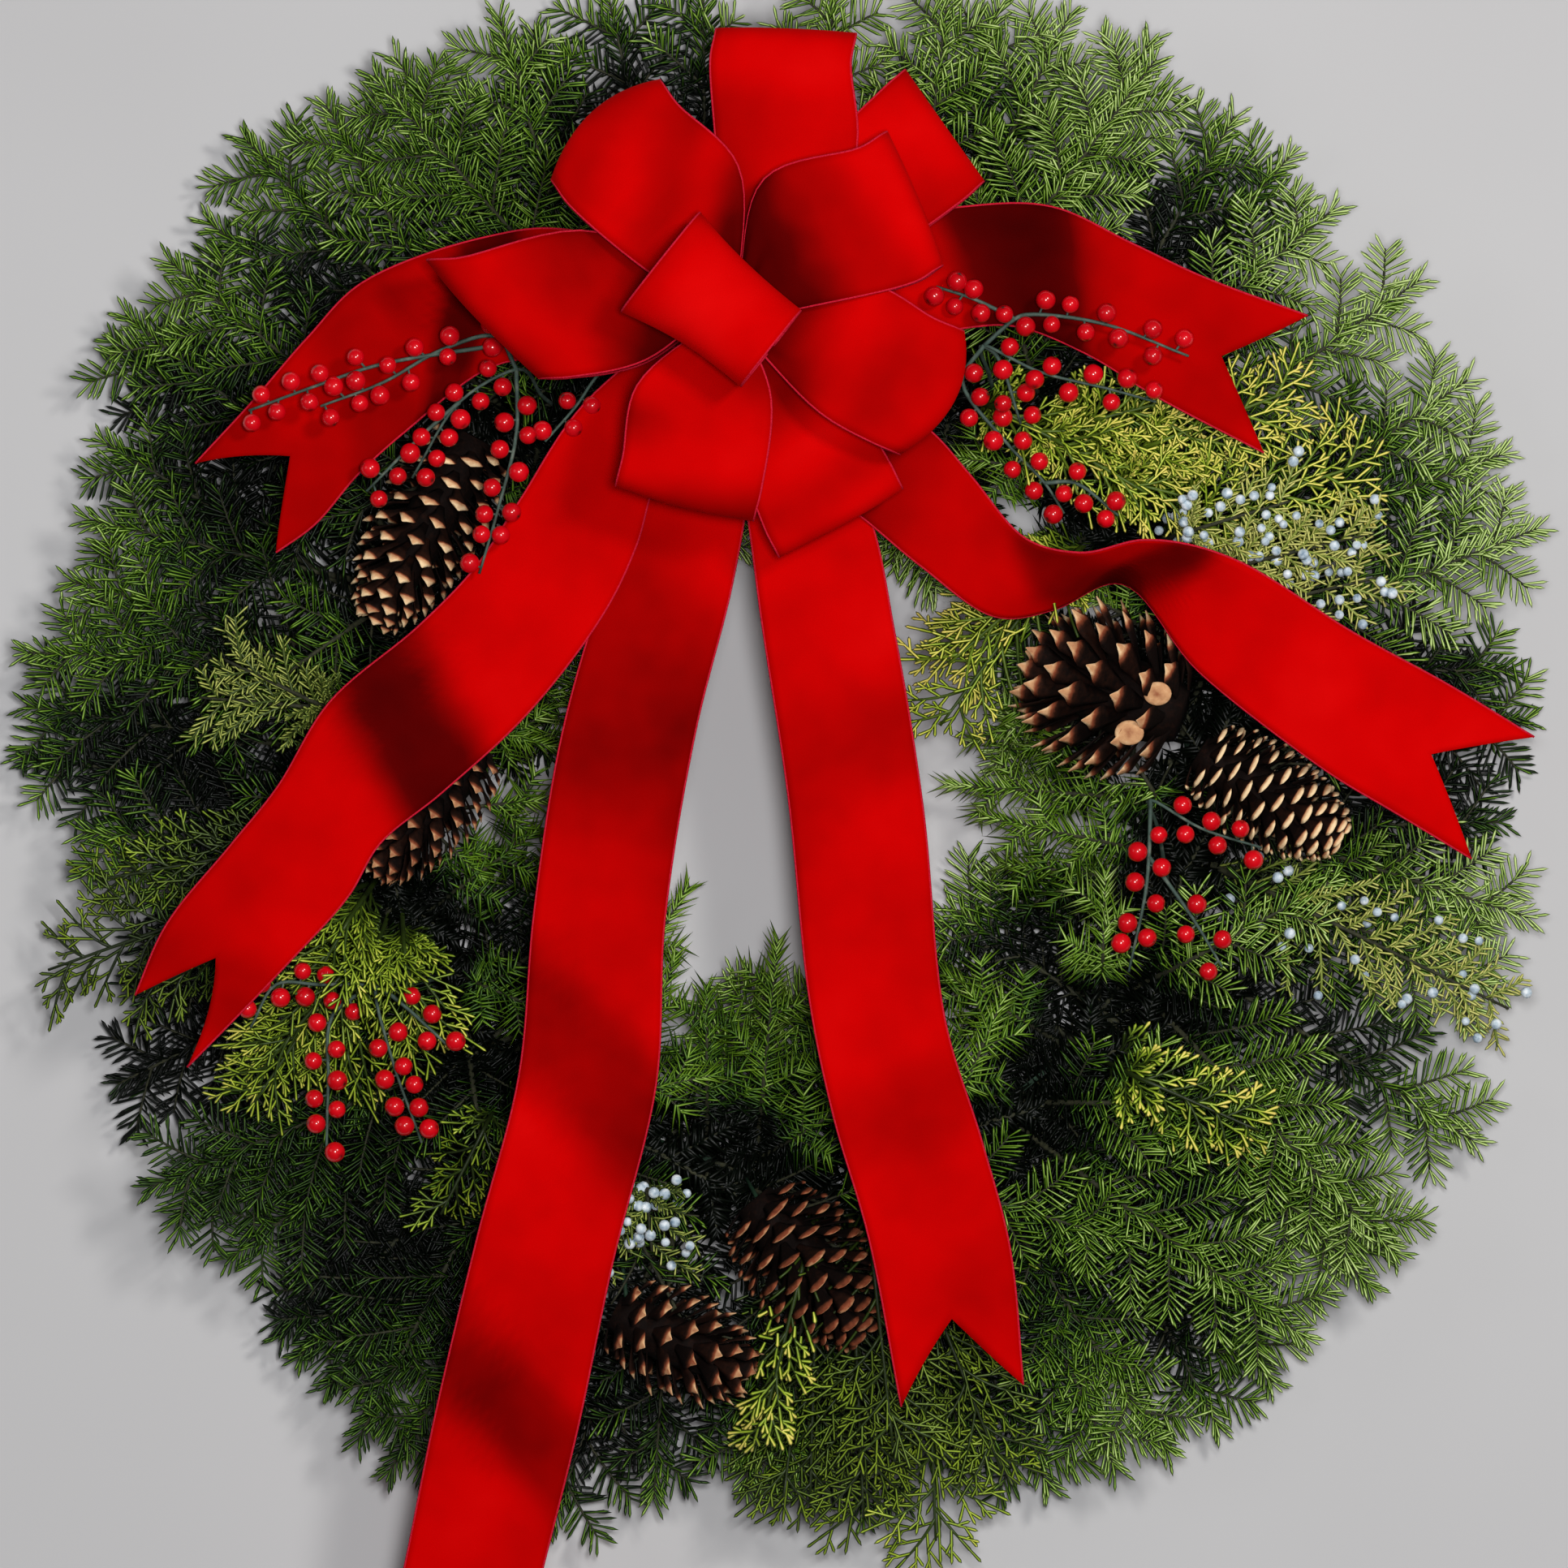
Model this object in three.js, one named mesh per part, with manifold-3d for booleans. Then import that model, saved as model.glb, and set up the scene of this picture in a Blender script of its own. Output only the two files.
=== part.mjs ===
// A fresh evergreen wreath with a velvet bow, lying on its back with the bow upward.
// Units are millimetres and +Z is up. X and Y are measured from the middle of the wire ring,
// and +Y points to the top of the wreath as it hangs.
import * as THREE from "three";
import { mergeVertices } from "three/addons/utils/BufferGeometryUtils.js";
import Module from "manifold-3d";

const wasm = await Module();
wasm.setup();

// Wire ring and its clamps
const RING_RADIUS = 190;
const RING_WIRE = 4;
const RING_SEGMENTS = 32;
const CLAMP_COUNT = 7;
const CLAMP_FIRST_DEG = 0;
const CLAMP_HALF_SPAN = 9;
const CLAMP_WIRE = 2.4;
const CLAMP_HEIGHT = 13.5;
const TIE_WIRE_RADIUS = 1.3;
const TIE_COIL_RADIUS = 8;
const TIE_FOOT_Y = 188.6;

// Clearances between neighbouring pieces
const SEAT_GAP = 0.35;
const NEEDLE_GAP = 0.45;
const LOWEST_NEEDLE_Z = 2;
const BRANCH_GAP = 0.8;
const NEEDLES_APART = 0.2;
const TAIL_CLEARANCE = 3.4;
const LOOP_CLEARANCE = 3.5;

// Greenery
const STEM_RADIUS = 2.3;
const TWIG_RADIUS = 1.45;
const NEEDLE_RADIUS = 0.95;
const STEM_SEAT_Z = RING_WIRE + SEAT_GAP + 0.8 * STEM_RADIUS;
const STEM_BEYOND_RING = 8;
const STEM_RISEN_AT = 12;
const STEM_RISEN_SHARE = 0.24;
const STEM_MIDDLE_SHARE = 0.62;
const NEEDLED_FROM = 0.66;
const STEM_TAIL = 13;
const NEEDLES_ON_TWIG = 2;
const NEEDLES_ON_LAST_TWIG = 1;
const NEEDLES_ON_STEM = 3;
const NEEDLE_IN_TWIG = 0.36;
const MERGE_MM = 0.05;

// Velvet ribbon
const RIBBON_WIDTH = 63.5;
const RIBBON_THICKNESS = 1.2;

// Bow, measured from its pinched middle
const BOW_CENTRE = [-23, 204];
const KNOT_RADIUS = 13;
const KNOT_BOTTOM_Z = 104.6;
const KNOT_TOP_Z = 158;
const ROOT_HALF_WIDTH = 12;
const LOOP_ROOT_HALF_WIDTH = 6;
const TAIL_ROOT_Z = 95;
const TAIL_STACK_STEP = 1.7;

// Berries and cones
const BERRY_RADIUS = 4.5;
const BERRY_STALK = 5.5;
const BERRY_STALK_RADIUS = 0.8;
const BERRY_TWIG_RADIUS = 1.5;
const WIRE_SEAT_Z = RING_WIRE + SEAT_GAP + 0.5;
const JUNIPER_BERRY_RADIUS = 3.4;
const CONE_WIRE_RADIUS = 1.1;

const COLOURS = {
  wire: { color: 0x2e4a36, roughness: 0.45, metalness: 0.6 },
  ribbon: { color: 0xc00208, roughness: 0.8, metalness: 0 },
  fir: { color: 0x23401d, roughness: 0.6, metalness: 0 },
  cedar: { color: 0x7d8f22, roughness: 0.6, metalness: 0 },
  juniper: { color: 0x4e6636, roughness: 0.65, metalness: 0 },
  cone: { color: 0x6b452b, roughness: 0.75, metalness: 0 },
  berry: { color: 0xb8060f, roughness: 0.25, metalness: 0 },
};

const Y_AXIS = new THREE.Vector3(0, 1, 0);
const Z_AXIS = new THREE.Vector3(0, 0, 1);

const vec = (x, y, z) => new THREE.Vector3(x, y, z);
const radians = THREE.MathUtils.degToRad;
const polar = (degrees, radius, z) =>
  vec(radius * Math.cos(radians(degrees)), radius * Math.sin(radians(degrees)), z);

// The same run of numbers from 0 to 1 for the same seed.
function seeded(seed) {
  let state = seed;
  return () => {
    state = (state * 1664525 + 1013904223) % 4294967296;
    return state / 4294967296;
  };
}

// A closed geometry as a solid that can be joined and cut.
function solidOf(geometry) {
  const bare = geometry.clone();
  bare.deleteAttribute("normal");
  bare.deleteAttribute("uv");
  const merged = mergeVertices(bare, 1e-4);
  return new wasm.Manifold(
    new wasm.Mesh({
      numProp: 3,
      vertProperties: Float32Array.from(merged.attributes.position.array),
      triVerts: Uint32Array.from(merged.index.array),
    }),
  );
}

// Joins solids into one body. A scrap that doesn't hold on to the rest is dropped.
function joined(solids) {
  const bodies = wasm.Manifold.union(solids).simplify(MERGE_MM).decompose();
  return bodies.sort((a, b) => b.volume() - a.volume())[0];
}

function geometryOf(solid) {
  const mesh = solid.getMesh();
  const geometry = new THREE.BufferGeometry();
  geometry.setAttribute("position", new THREE.BufferAttribute(mesh.vertProperties, 3));
  geometry.setIndex(new THREE.BufferAttribute(mesh.triVerts, 1));
  return geometry;
}

// A straight rod from one point to another, tapering to the second radius.
function rod(from, to, radius, endRadius, sides) {
  const along = to.clone().sub(from);
  const geometry = new THREE.CylinderGeometry(endRadius, radius, along.length(), sides, 1);
  geometry.rotateY(Math.PI / sides);
  const turn = new THREE.Quaternion().setFromUnitVectors(Y_AXIS, along.clone().normalize());
  geometry.applyQuaternion(turn);
  const middle = from.clone().add(to).multiplyScalar(0.5);
  return geometry.translate(middle.x, middle.y, middle.z);
}

// A pointed three-sided needle.
function needleShape(needle) {
  const along = needle.to.clone().sub(needle.from);
  const geometry = new THREE.ConeGeometry(needle.radius, along.length(), 3, 1);
  const turn = new THREE.Quaternion().setFromUnitVectors(Y_AXIS, along.clone().normalize());
  geometry.applyQuaternion(turn);
  const middle = needle.from.clone().add(needle.to).multiplyScalar(0.5);
  return geometry.translate(middle.x, middle.y, middle.z);
}

// A berry turned so that the middle of one of its faces looks at what it hangs on.
function ball(centre, radius, stalkEnd) {
  const geometry = new THREE.IcosahedronGeometry(radius, 0);
  const corners = geometry.attributes.position;
  const face = vec(0, 0, 0);
  for (let i = 0; i < 3; i++) face.add(new THREE.Vector3().fromBufferAttribute(corners, i));
  const toStalk = stalkEnd.clone().sub(centre).normalize();
  geometry.applyQuaternion(new THREE.Quaternion().setFromUnitVectors(face.normalize(), toStalk));
  return geometry.translate(centre.x, centre.y, centre.z);
}

const pathThrough = (points) => new THREE.CatmullRomCurve3(points, false, "centripetal");

// A path of straight stretches from point to point.
function bentPath(points) {
  const path = new THREE.CurvePath();
  for (let i = 1; i < points.length; i++) {
    path.add(new THREE.LineCurve3(points[i - 1], points[i]));
  }
  return path;
}

// A rod bent at the given points. Its flat sides face sideways and up where it starts.
function bentRod(points, radius, sides) {
  const last = points.length - 1;
  const geometry = new THREE.CylinderGeometry(radius, radius, 1, sides, last);
  geometry.rotateY(Math.PI / sides);
  const frames = [];
  let sideways = points[1].clone().sub(points[0]).cross(Z_AXIS);
  points.forEach((point, row) => {
    const ahead = points[Math.min(last, row + 1)];
    const behind = points[Math.max(0, row - 1)];
    const along = ahead.clone().sub(behind).normalize();
    sideways = sideways.clone().addScaledVector(along, -sideways.dot(along)).normalize();
    frames.push({ point, sideways, upward: sideways.clone().cross(along) });
  });
  const places = geometry.attributes.position;
  for (let i = 0; i < places.count; i++) {
    const frame = frames[Math.round((places.getY(i) + 0.5) * last)];
    const place = frame.point.clone().addScaledVector(frame.sideways, places.getX(i));
    place.addScaledVector(frame.upward, places.getZ(i));
    places.setXYZ(i, place.x, place.y, place.z);
  }
  return geometry;
}

// What each piece takes up, as rods with round ends, so that needles keep clear of it.
const occupied = [];
const claim = (owner, from, to, radius) => occupied.push({ owner, from, to, radius });

function claimPath(owner, points, radius) {
  for (let i = 1; i < points.length; i++) claim(owner, points[i - 1], points[i], radius);
}

// The shortest distance between two straight stretches.
function distanceBetween(a, b) {
  const u = a.to.clone().sub(a.from);
  const v = b.to.clone().sub(b.from);
  const w = a.from.clone().sub(b.from);
  const uu = u.dot(u);
  const uv = u.dot(v);
  const vv = v.dot(v);
  const uw = u.dot(w);
  const vw = v.dot(w);
  const slope = uu * vv - uv * uv;
  const clamp = (x) => Math.min(1, Math.max(0, x));
  let s = slope > 1e-9 ? clamp((uv * vw - vv * uw) / slope) : 0;
  const t = vv > 1e-9 ? clamp((uv * s + vw) / vv) : 0;
  s = uu > 1e-9 ? clamp((uv * t - uw) / uu) : 0;
  return w.addScaledVector(u, s).addScaledVector(v, -t).length();
}

function isClear(owner, from, to, radius, gap) {
  const piece = { from, to };
  return occupied.every(
    (other) => other.owner === owner || distanceBetween(piece, other) > radius + other.radius + gap,
  );
}

// Ribbon

// Splits a strip's lower face into triangles the same way as its upper one, so that the
// strip keeps its thickness where it is twisted.
function matchFaces(strip) {
  const index = strip.index.array;
  const { start, count } = strip.groups[5];
  for (let i = start; i < start + count; i += 6) {
    const [a, b, , , c, d] = index.slice(i, i + 6);
    index.set([a, b, c, a, c, d], i);
  }
}

// A strip of ribbon between two edges, which are functions of how far along it is.
// Its end is cut to a swallow tail whose notch is this share of the length deep.
function ribbonStrip(leftEdge, rightEdge, steps, notch) {
  const columns = notch > 0 ? 2 : 1;
  const geometry = new THREE.BoxGeometry(2, 1, RIBBON_THICKNESS, columns, steps, 1);
  matchFaces(geometry);
  const places = geometry.attributes.position;
  for (let i = 0; i < places.count; i++) {
    const across = places.getX(i);
    const share = places.getY(i) + 0.5;
    const along = across === 0 ? share * (1 - notch) : share;
    const left = leftEdge(along);
    const right = rightEdge(along);
    const ahead = leftEdge(Math.min(1, along + 0.01)).add(rightEdge(Math.min(1, along + 0.01)));
    const behind = leftEdge(Math.max(0, along - 0.01)).add(rightEdge(Math.max(0, along - 0.01)));
    const normal = right.clone().sub(left).cross(ahead.sub(behind)).normalize();
    const point = left.lerp(right, (across + 1) / 2).addScaledVector(normal, places.getZ(i));
    places.setXYZ(i, point.x, point.y, point.z);
  }
  return geometry;
}

// Each tail is given by rows of points across it: left edge x and y, right edge x and y,
// and the heights of the two edges. The first row is at the pinch under the bow.
const TAILS = {
  ribbon_tail_centre_left: {
    notch: 0.05,
    rows: [
      [-61, 128, -16, 128, 92, 92],
      [-82, 80, -24, 80, 92, 92],
      [-102, 12, -41, 12, 90, 90],
      [-115, -70, -55, -74, 88, 88],
      [-122, -146, -59, -150, 92, 92],
      [-141, -220, -79, -232, 96, 96],
      [-160, -300, -95, -308, 93, 93],
      [-174, -368, -112, -376, 82, 82],
      [-184, -413, -122, -417, 74, 74],
    ],
  },
  ribbon_tail_centre_right: {
    notch: 0.07,
    rows: [
      [-18, 120, 37, 118, 92, 92],
      [-10, 62, 51, 57, 92, 92],
      [2, -17, 64, -23, 90, 90],
      [12, -112, 74, -120, 90, 90],
      [23, -165, 91, -176, 95, 95],
      [39, -220, 104, -226, 99, 99],
      [54, -298, 110, -288, 99, 99],
    ],
  },
  ribbon_tail_lower_left: {
    notch: 0.1,
    rows: [
      [-58, 130, -92, 163, 94, 96],
      [-68, 98, -122, 118, 95, 97],
      [-83, 67, -142, 88, 96, 97],
      [-118, 21, -168, 61, 97, 98],
      [-158, -16, -209, 26, 97, 98],
      [-186, -39, -233, -13, 97, 95],
      [-201, -64, -255, -40, 98, 93],
      [-232, -98, -284, -76, 96, 91],
      [-275, -142, -299, -109, 90, 88],
    ],
  },
  ribbon_tail_lower_right: {
    notch: 0.09,
    rows: [
      [14, 130, 35, 173, 96, 98],
      [41, 107, 67, 151, 97, 98],
      [64, 88, 86, 130, 94, 97],
      [97, 66, 111, 101, 84, 99],
      [125, 69, 136, 95, 74, 102],
      [156, 80, 166, 101, 74, 104],
      [192, 40, 206, 92, 86, 100],
      [249, -5, 262, 58, 92, 94],
      [282, -25, 306, 34, 90, 90],
      [317, -46, 346, 10, 84, 84],
    ],
  },
  ribbon_tail_upper_left: {
    notch: 0.13,
    rows: [
      [-92, 185, -99, 243, 94, 95],
      [-133, 181, -137, 240, 94, 95],
      [-174, 151, -194, 219, 95, 96],
      [-196, 131, -219, 194, 95, 95],
      [-216, 108, -246, 163, 93, 93],
      [-234, 95, -271, 136, 92, 92],
    ],
  },
  ribbon_tail_upper_right: {
    notch: 0.12,
    rows: [
      [31, 186, 31, 243, 94, 94],
      [82, 198, 84, 254, 94, 95],
      [107, 199, 123, 254, 95, 96],
      [140, 186, 160, 237, 95, 98],
      [171, 167, 192, 222, 94, 96],
      [221, 141, 241, 204, 91, 92],
    ],
  },
};

// The tails leave the pinch one above the other.
function tailEdges(rows, level) {
  const rootZ = TAIL_ROOT_Z + TAIL_STACK_STEP * level;
  const [lx, ly, rx, ry] = rows[0];
  const across = vec(rx - lx, ry - ly, 0).setLength(ROOT_HALF_WIDTH);
  const root = vec(BOW_CENTRE[0], BOW_CENTRE[1], rootZ);
  const hold = [1, 0.45];
  const height = (z, i) => z + (rootZ - z) * (hold[i] ?? 0);
  const left = rows.map((row, i) => vec(row[0], row[1], height(row[4], i)));
  const right = rows.map((row, i) => vec(row[2], row[3], height(row[5], i)));
  const leftPath = pathThrough([root.clone().sub(across), ...left]);
  const rightPath = pathThrough([root.clone().add(across), ...right]);
  return [(along) => leftPath.getPoint(along), (along) => rightPath.getPoint(along)];
}

function ribbonTail(name, level) {
  const { rows, notch } = TAILS[name];
  const [left, right] = tailEdges(rows, level);
  const steps = rows.length;
  for (let i = 0; i <= 5 * steps; i++) {
    const along = i / (5 * steps);
    claim(name, left(along), right(along), TAIL_CLEARANCE);
  }
  return solidOf(ribbonStrip(left, right, steps, notch));
}

// Each loop leaves the pinch low, turns over at its outer edge and comes back above.
// Its outer and middle corners are measured from the pinch, for both of its edges.
const LOOPS = [
  { outer: [-8, 130, 56, 128], middle: [-3, 70, 55, 68], low: 108, high: 134 },
  { outer: [79, 112, 115, 61], middle: [26, 58, 70, 28], low: 108, high: 127 },
  { outer: [-83, 62, -28, 107], middle: [-36, 16, 0, 66], low: 112, high: 150 },
  { outer: [70, 82, 95, 21], middle: [22, 62, 36, 4], low: 113, high: 152 },
  { outer: [-140, 24, -89, -30], middle: [-62, 36, -40, -22], low: 111, high: 142 },
  { outer: [105, -9, 76, -65], middle: [60, 11, 40, -42], low: 112, high: 148 },
  { outer: [77, -80, 21, -112], middle: [48, -45, 4, -64], low: 108, high: 130 },
  { outer: [9, -95, -54, -80], middle: [17, -45, -44, -38], low: 114, high: 146 },
];
const LOOP_STACK_STEP = 1.3;
// Where a loop's two ends sit in the pinch: how far outward, and how far inside its height.
const LOOP_ROOT_OUT = 4.5;
const LOOP_ROOT_INSET = 5;
// The rounded outer end of a loop from its underside over its nose to its top. Each point
// gives the distance outward from the tip and the height above the top, both in rolls.
const LOOP_ROLL = 8;
const LOOP_END = [
  [-1.6, -2.5],
  [0, -1.2],
  [-0.45, -0.1],
  [-1.8, 0.3],
];
const LOOP_LEAST_RISE = 3;
const LOOP_CROWN = 0.7;
const CENTRE_LOOP = { middle: [-8, 2, 172], heading: -38.5, halfAcross: 25, halfHigh: 17 };

// The path of one edge of a loop: out along the bottom, over the end and back on top.
function loopEdge(side, loop, order) {
  const [bx, by] = BOW_CENTRE;
  const pick = (corners) => vec(bx + corners[2 * side], by + corners[2 * side + 1], 0);
  const outer = pick(loop.outer);
  const middle = pick(loop.middle);
  const heading = vec(loop.outer[0] + loop.outer[2], loop.outer[1] + loop.outer[3], 0).normalize();
  const sideways = heading.clone().cross(Z_AXIS).multiplyScalar(side === 0 ? -1 : 1);
  const root = vec(bx, by, 0).addScaledVector(sideways, LOOP_ROOT_HALF_WIDTH);
  const at = (point, z, out) => point.clone().addScaledVector(heading, out).setZ(z);
  const { low, high } = loop;
  const step = LOOP_STACK_STEP * order;
  const endHeight = (up) => Math.max(low + LOOP_LEAST_RISE, high + up * LOOP_ROLL);
  return pathThrough([
    at(root, KNOT_BOTTOM_Z + LOOP_ROOT_INSET + step, LOOP_ROOT_OUT),
    at(middle, low, 0),
    ...LOOP_END.map(([out, up]) => at(outer, endHeight(up), out * LOOP_ROLL)),
    at(middle, high + LOOP_CROWN * LOOP_ROLL, 0),
    at(root, KNOT_TOP_Z - LOOP_ROOT_INSET - step, LOOP_ROOT_OUT),
  ]);
}

function bowLoop(loop, order) {
  const left = loopEdge(0, loop, order);
  const right = loopEdge(1, loop, order);
  for (let along = 0; along <= 1; along += 0.04) {
    claim("bow_loops", left.getPoint(along), right.getPoint(along), LOOP_CLEARANCE);
  }
  const steps = left.points.length - 1;
  return solidOf(ribbonStrip((at) => left.getPoint(at), (at) => right.getPoint(at), steps, 0));
}

// The small round loop that covers the pinch.
function centreLoop() {
  const { middle, heading, halfAcross, halfHigh } = CENTRE_LOOP;
  const ring = new THREE.Shape().absellipse(0, 0, halfAcross, halfHigh, 0, 2 * Math.PI);
  const inside = new THREE.Path();
  const wall = RIBBON_THICKNESS;
  const curveSegments = 8;
  inside.absellipse(0, 0, halfAcross - wall, halfHigh - wall, 0, 2 * Math.PI);
  ring.holes.push(inside);
  const depth = RIBBON_WIDTH;
  const geometry = new THREE.ExtrudeGeometry(ring, { depth, bevelEnabled: false, curveSegments });
  geometry.translate(0, 0, -depth / 2).rotateX(Math.PI / 2).rotateZ(radians(heading) + Math.PI / 2);
  return solidOf(
    geometry.translate(BOW_CENTRE[0] + middle[0], BOW_CENTRE[1] + middle[1], middle[2]),
  );
}

function bow() {
  const height = KNOT_TOP_Z - KNOT_BOTTOM_Z;
  const knot = new THREE.CylinderGeometry(KNOT_RADIUS, KNOT_RADIUS, height, 7, 1);
  knot.rotateX(Math.PI / 2).translate(...BOW_CENTRE, (KNOT_BOTTOM_Z + KNOT_TOP_Z) / 2);
  return joined([solidOf(knot), centreLoop(), ...LOOPS.map(bowLoop)]);
}

// Wire

function ringFrame() {
  const profile = [];
  const half = RING_WIRE / 2;
  const slant = half / Math.cos(Math.PI / 6);
  const corners = [30, 90, 150, 210, 270, 330].map((degrees) => [
    slant * Math.sin(radians(degrees)),
    -slant * Math.cos(radians(degrees)),
  ]);
  for (const [out, up] of [...corners, corners[0]]) {
    profile.push(new THREE.Vector2(RING_RADIUS + out, up + half));
  }
  const ring = new THREE.LatheGeometry(profile, RING_SEGMENTS).rotateX(Math.PI / 2);
  const parts = [solidOf(ring)];
  for (let i = 0; i < CLAMP_COUNT; i++) {
    parts.push(clampProng(CLAMP_FIRST_DEG + (i * 360) / CLAMP_COUNT));
  }
  return joined(parts);
}

// A prong stands on the ring and bends over the cut ends of the sprays.
function clampProng(degrees) {
  const turn = THREE.MathUtils.radToDeg(CLAMP_HALF_SPAN / RING_RADIUS);
  const foot = polar(degrees - turn, RING_RADIUS, RING_WIRE / 2);
  const knee = polar(degrees - turn, RING_RADIUS, CLAMP_HEIGHT);
  const tip = polar(degrees + turn, RING_RADIUS, CLAMP_HEIGHT);
  const wire = CLAMP_WIRE / 2;
  claim("wire_ring_frame", foot, knee, wire);
  claim("wire_ring_frame", knee, tip, wire);
  const leg = rod(foot, knee.clone().setZ(CLAMP_HEIGHT + wire), wire, wire, 3);
  const bar = rod(knee, tip, wire, wire, 3);
  return solidOf(leg).add(solidOf(bar));
}

// A twisted wire that ties the pinch of the bow down to the ring.
function bowTie() {
  const name = "bow_tie_wire";
  const top = vec(BOW_CENTRE[0], BOW_CENTRE[1] - 2, TAIL_ROOT_Z - RIBBON_THICKNESS / 2 - SEAT_GAP);
  const foot = vec(BOW_CENTRE[0], TIE_FOOT_Y, WIRE_SEAT_Z);
  const wire = TIE_WIRE_RADIUS;
  claim(name, foot, top, wire);
  claim(name, top, top.clone().setX(top.x + 1), TIE_COIL_RADIUS + wire);
  const hub = top.clone().setZ(top.z - wire);
  const coil = new THREE.TorusGeometry(TIE_COIL_RADIUS, wire, 4, 10).translate(hub.x, hub.y, hub.z);
  const reach = vec(TIE_COIL_RADIUS, 0, 0);
  const spoke = rod(hub.clone().sub(reach), hub.clone().add(reach), wire, wire, 4);
  return joined([solidOf(coil), solidOf(spoke), solidOf(rod(foot, hub, wire, wire, 4))]);
}

// Cones

// Each cone runs from its base to its tip. Its wire goes down to the ring at this angle.
const CONES = {
  pine_cone_upper_left: { base: [-143, 149, 62], tip: [-188, 66, 56], width: 54, wire: 141 },
  pine_cone_left: { base: [-140, 6, 56], tip: [-188, -50, 56], width: 46, wire: 186.5 },
  pine_cone_right_round: { base: [184, 20, 66], tip: [124, 40, 56], width: 80, wire: 7 },
  pine_cone_right_long: { base: [192, 3, 60], tip: [254, -36, 60], width: 50, wire: 353 },
  pine_cone_bottom_left: { base: [-79, -256, 60], tip: [-20, -284, 60], width: 50, wire: 244.3 },
  pine_cone_bottom: { base: [-14, -204, 58], tip: [34, -262, 58], width: 60, wire: 263.5 },
};
const CONE_ROWS = 10;
const CONE_COLUMNS = 12;
const CONE_CORE = 0.58;
const SCALE_LEAN = 0.7;

// How wide the cone is, as a share of its widest, from its base at 0 to its tip at 1.
const coneGirth = (along) => Math.pow(Math.sin(Math.PI * (0.2 + 0.74 * along)), 0.7);

function coneAxis({ base, tip }) {
  const start = vec(...base);
  const axis = vec(...tip).sub(start);
  const turn = new THREE.Quaternion().setFromUnitVectors(Y_AXIS, axis.clone().normalize());
  return { start, axis, turn };
}

function coneWirePoints(cone) {
  const { start, axis } = coneAxis(cone);
  const seat = polar(cone.wire, RING_RADIUS, WIRE_SEAT_Z);
  const neck = start.clone().addScaledVector(axis, 0.12);
  return [seat, neck];
}

function coneClaims(name) {
  const cone = CONES[name];
  const { start, axis } = coneAxis(cone);
  const pieces = 5;
  for (let i = 0; i <= pieces; i++) {
    const middle = start.clone().addScaledVector(axis, i / pieces);
    const next = start.clone().addScaledVector(axis, Math.min(1, (i + 0.5) / pieces));
    claim(name, middle, next, 1 + (cone.width / 2) * coneGirth(i / pieces));
  }
  const [seat, neck] = coneWirePoints(cone);
  claim(name, seat, neck, CONE_WIRE_RADIUS);
}

// The cone's scales are raised from its core: every other point of each row stands out
// and leans toward the tip.
function scaledCone(length, half) {
  const spacing = length / (CONE_ROWS + 1);
  const outline = [new THREE.Vector2(0, 0)];
  for (let row = 1; row <= CONE_ROWS; row++) {
    const girth = half * coneGirth((row - 0.5) / CONE_ROWS);
    outline.push(new THREE.Vector2(CONE_CORE * girth, row * spacing));
  }
  outline.push(new THREE.Vector2(0, length));
  const geometry = new THREE.LatheGeometry(outline, CONE_COLUMNS);
  const places = geometry.attributes.position;
  for (let i = 0; i < places.count; i++) {
    const row = i % outline.length;
    const column = Math.floor(i / outline.length);
    const onCore = row > 0 && row <= CONE_ROWS;
    if (onCore && (row + column) % 2 === 0) {
      places.setX(i, places.getX(i) / CONE_CORE);
      places.setY(i, places.getY(i) + SCALE_LEAN * spacing);
      places.setZ(i, places.getZ(i) / CONE_CORE);
    }
  }
  return geometry;
}

function pineCone(name) {
  const cone = CONES[name];
  const { start, axis, turn } = coneAxis(cone);
  const body = scaledCone(axis.length(), cone.width / 2);
  body.applyQuaternion(turn).translate(start.x, start.y, start.z);
  const [seat, neck] = coneWirePoints(cone);
  return joined([solidOf(body), solidOf(rod(seat, neck, CONE_WIRE_RADIUS, CONE_WIRE_RADIUS, 4))]);
}

// Berries

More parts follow.
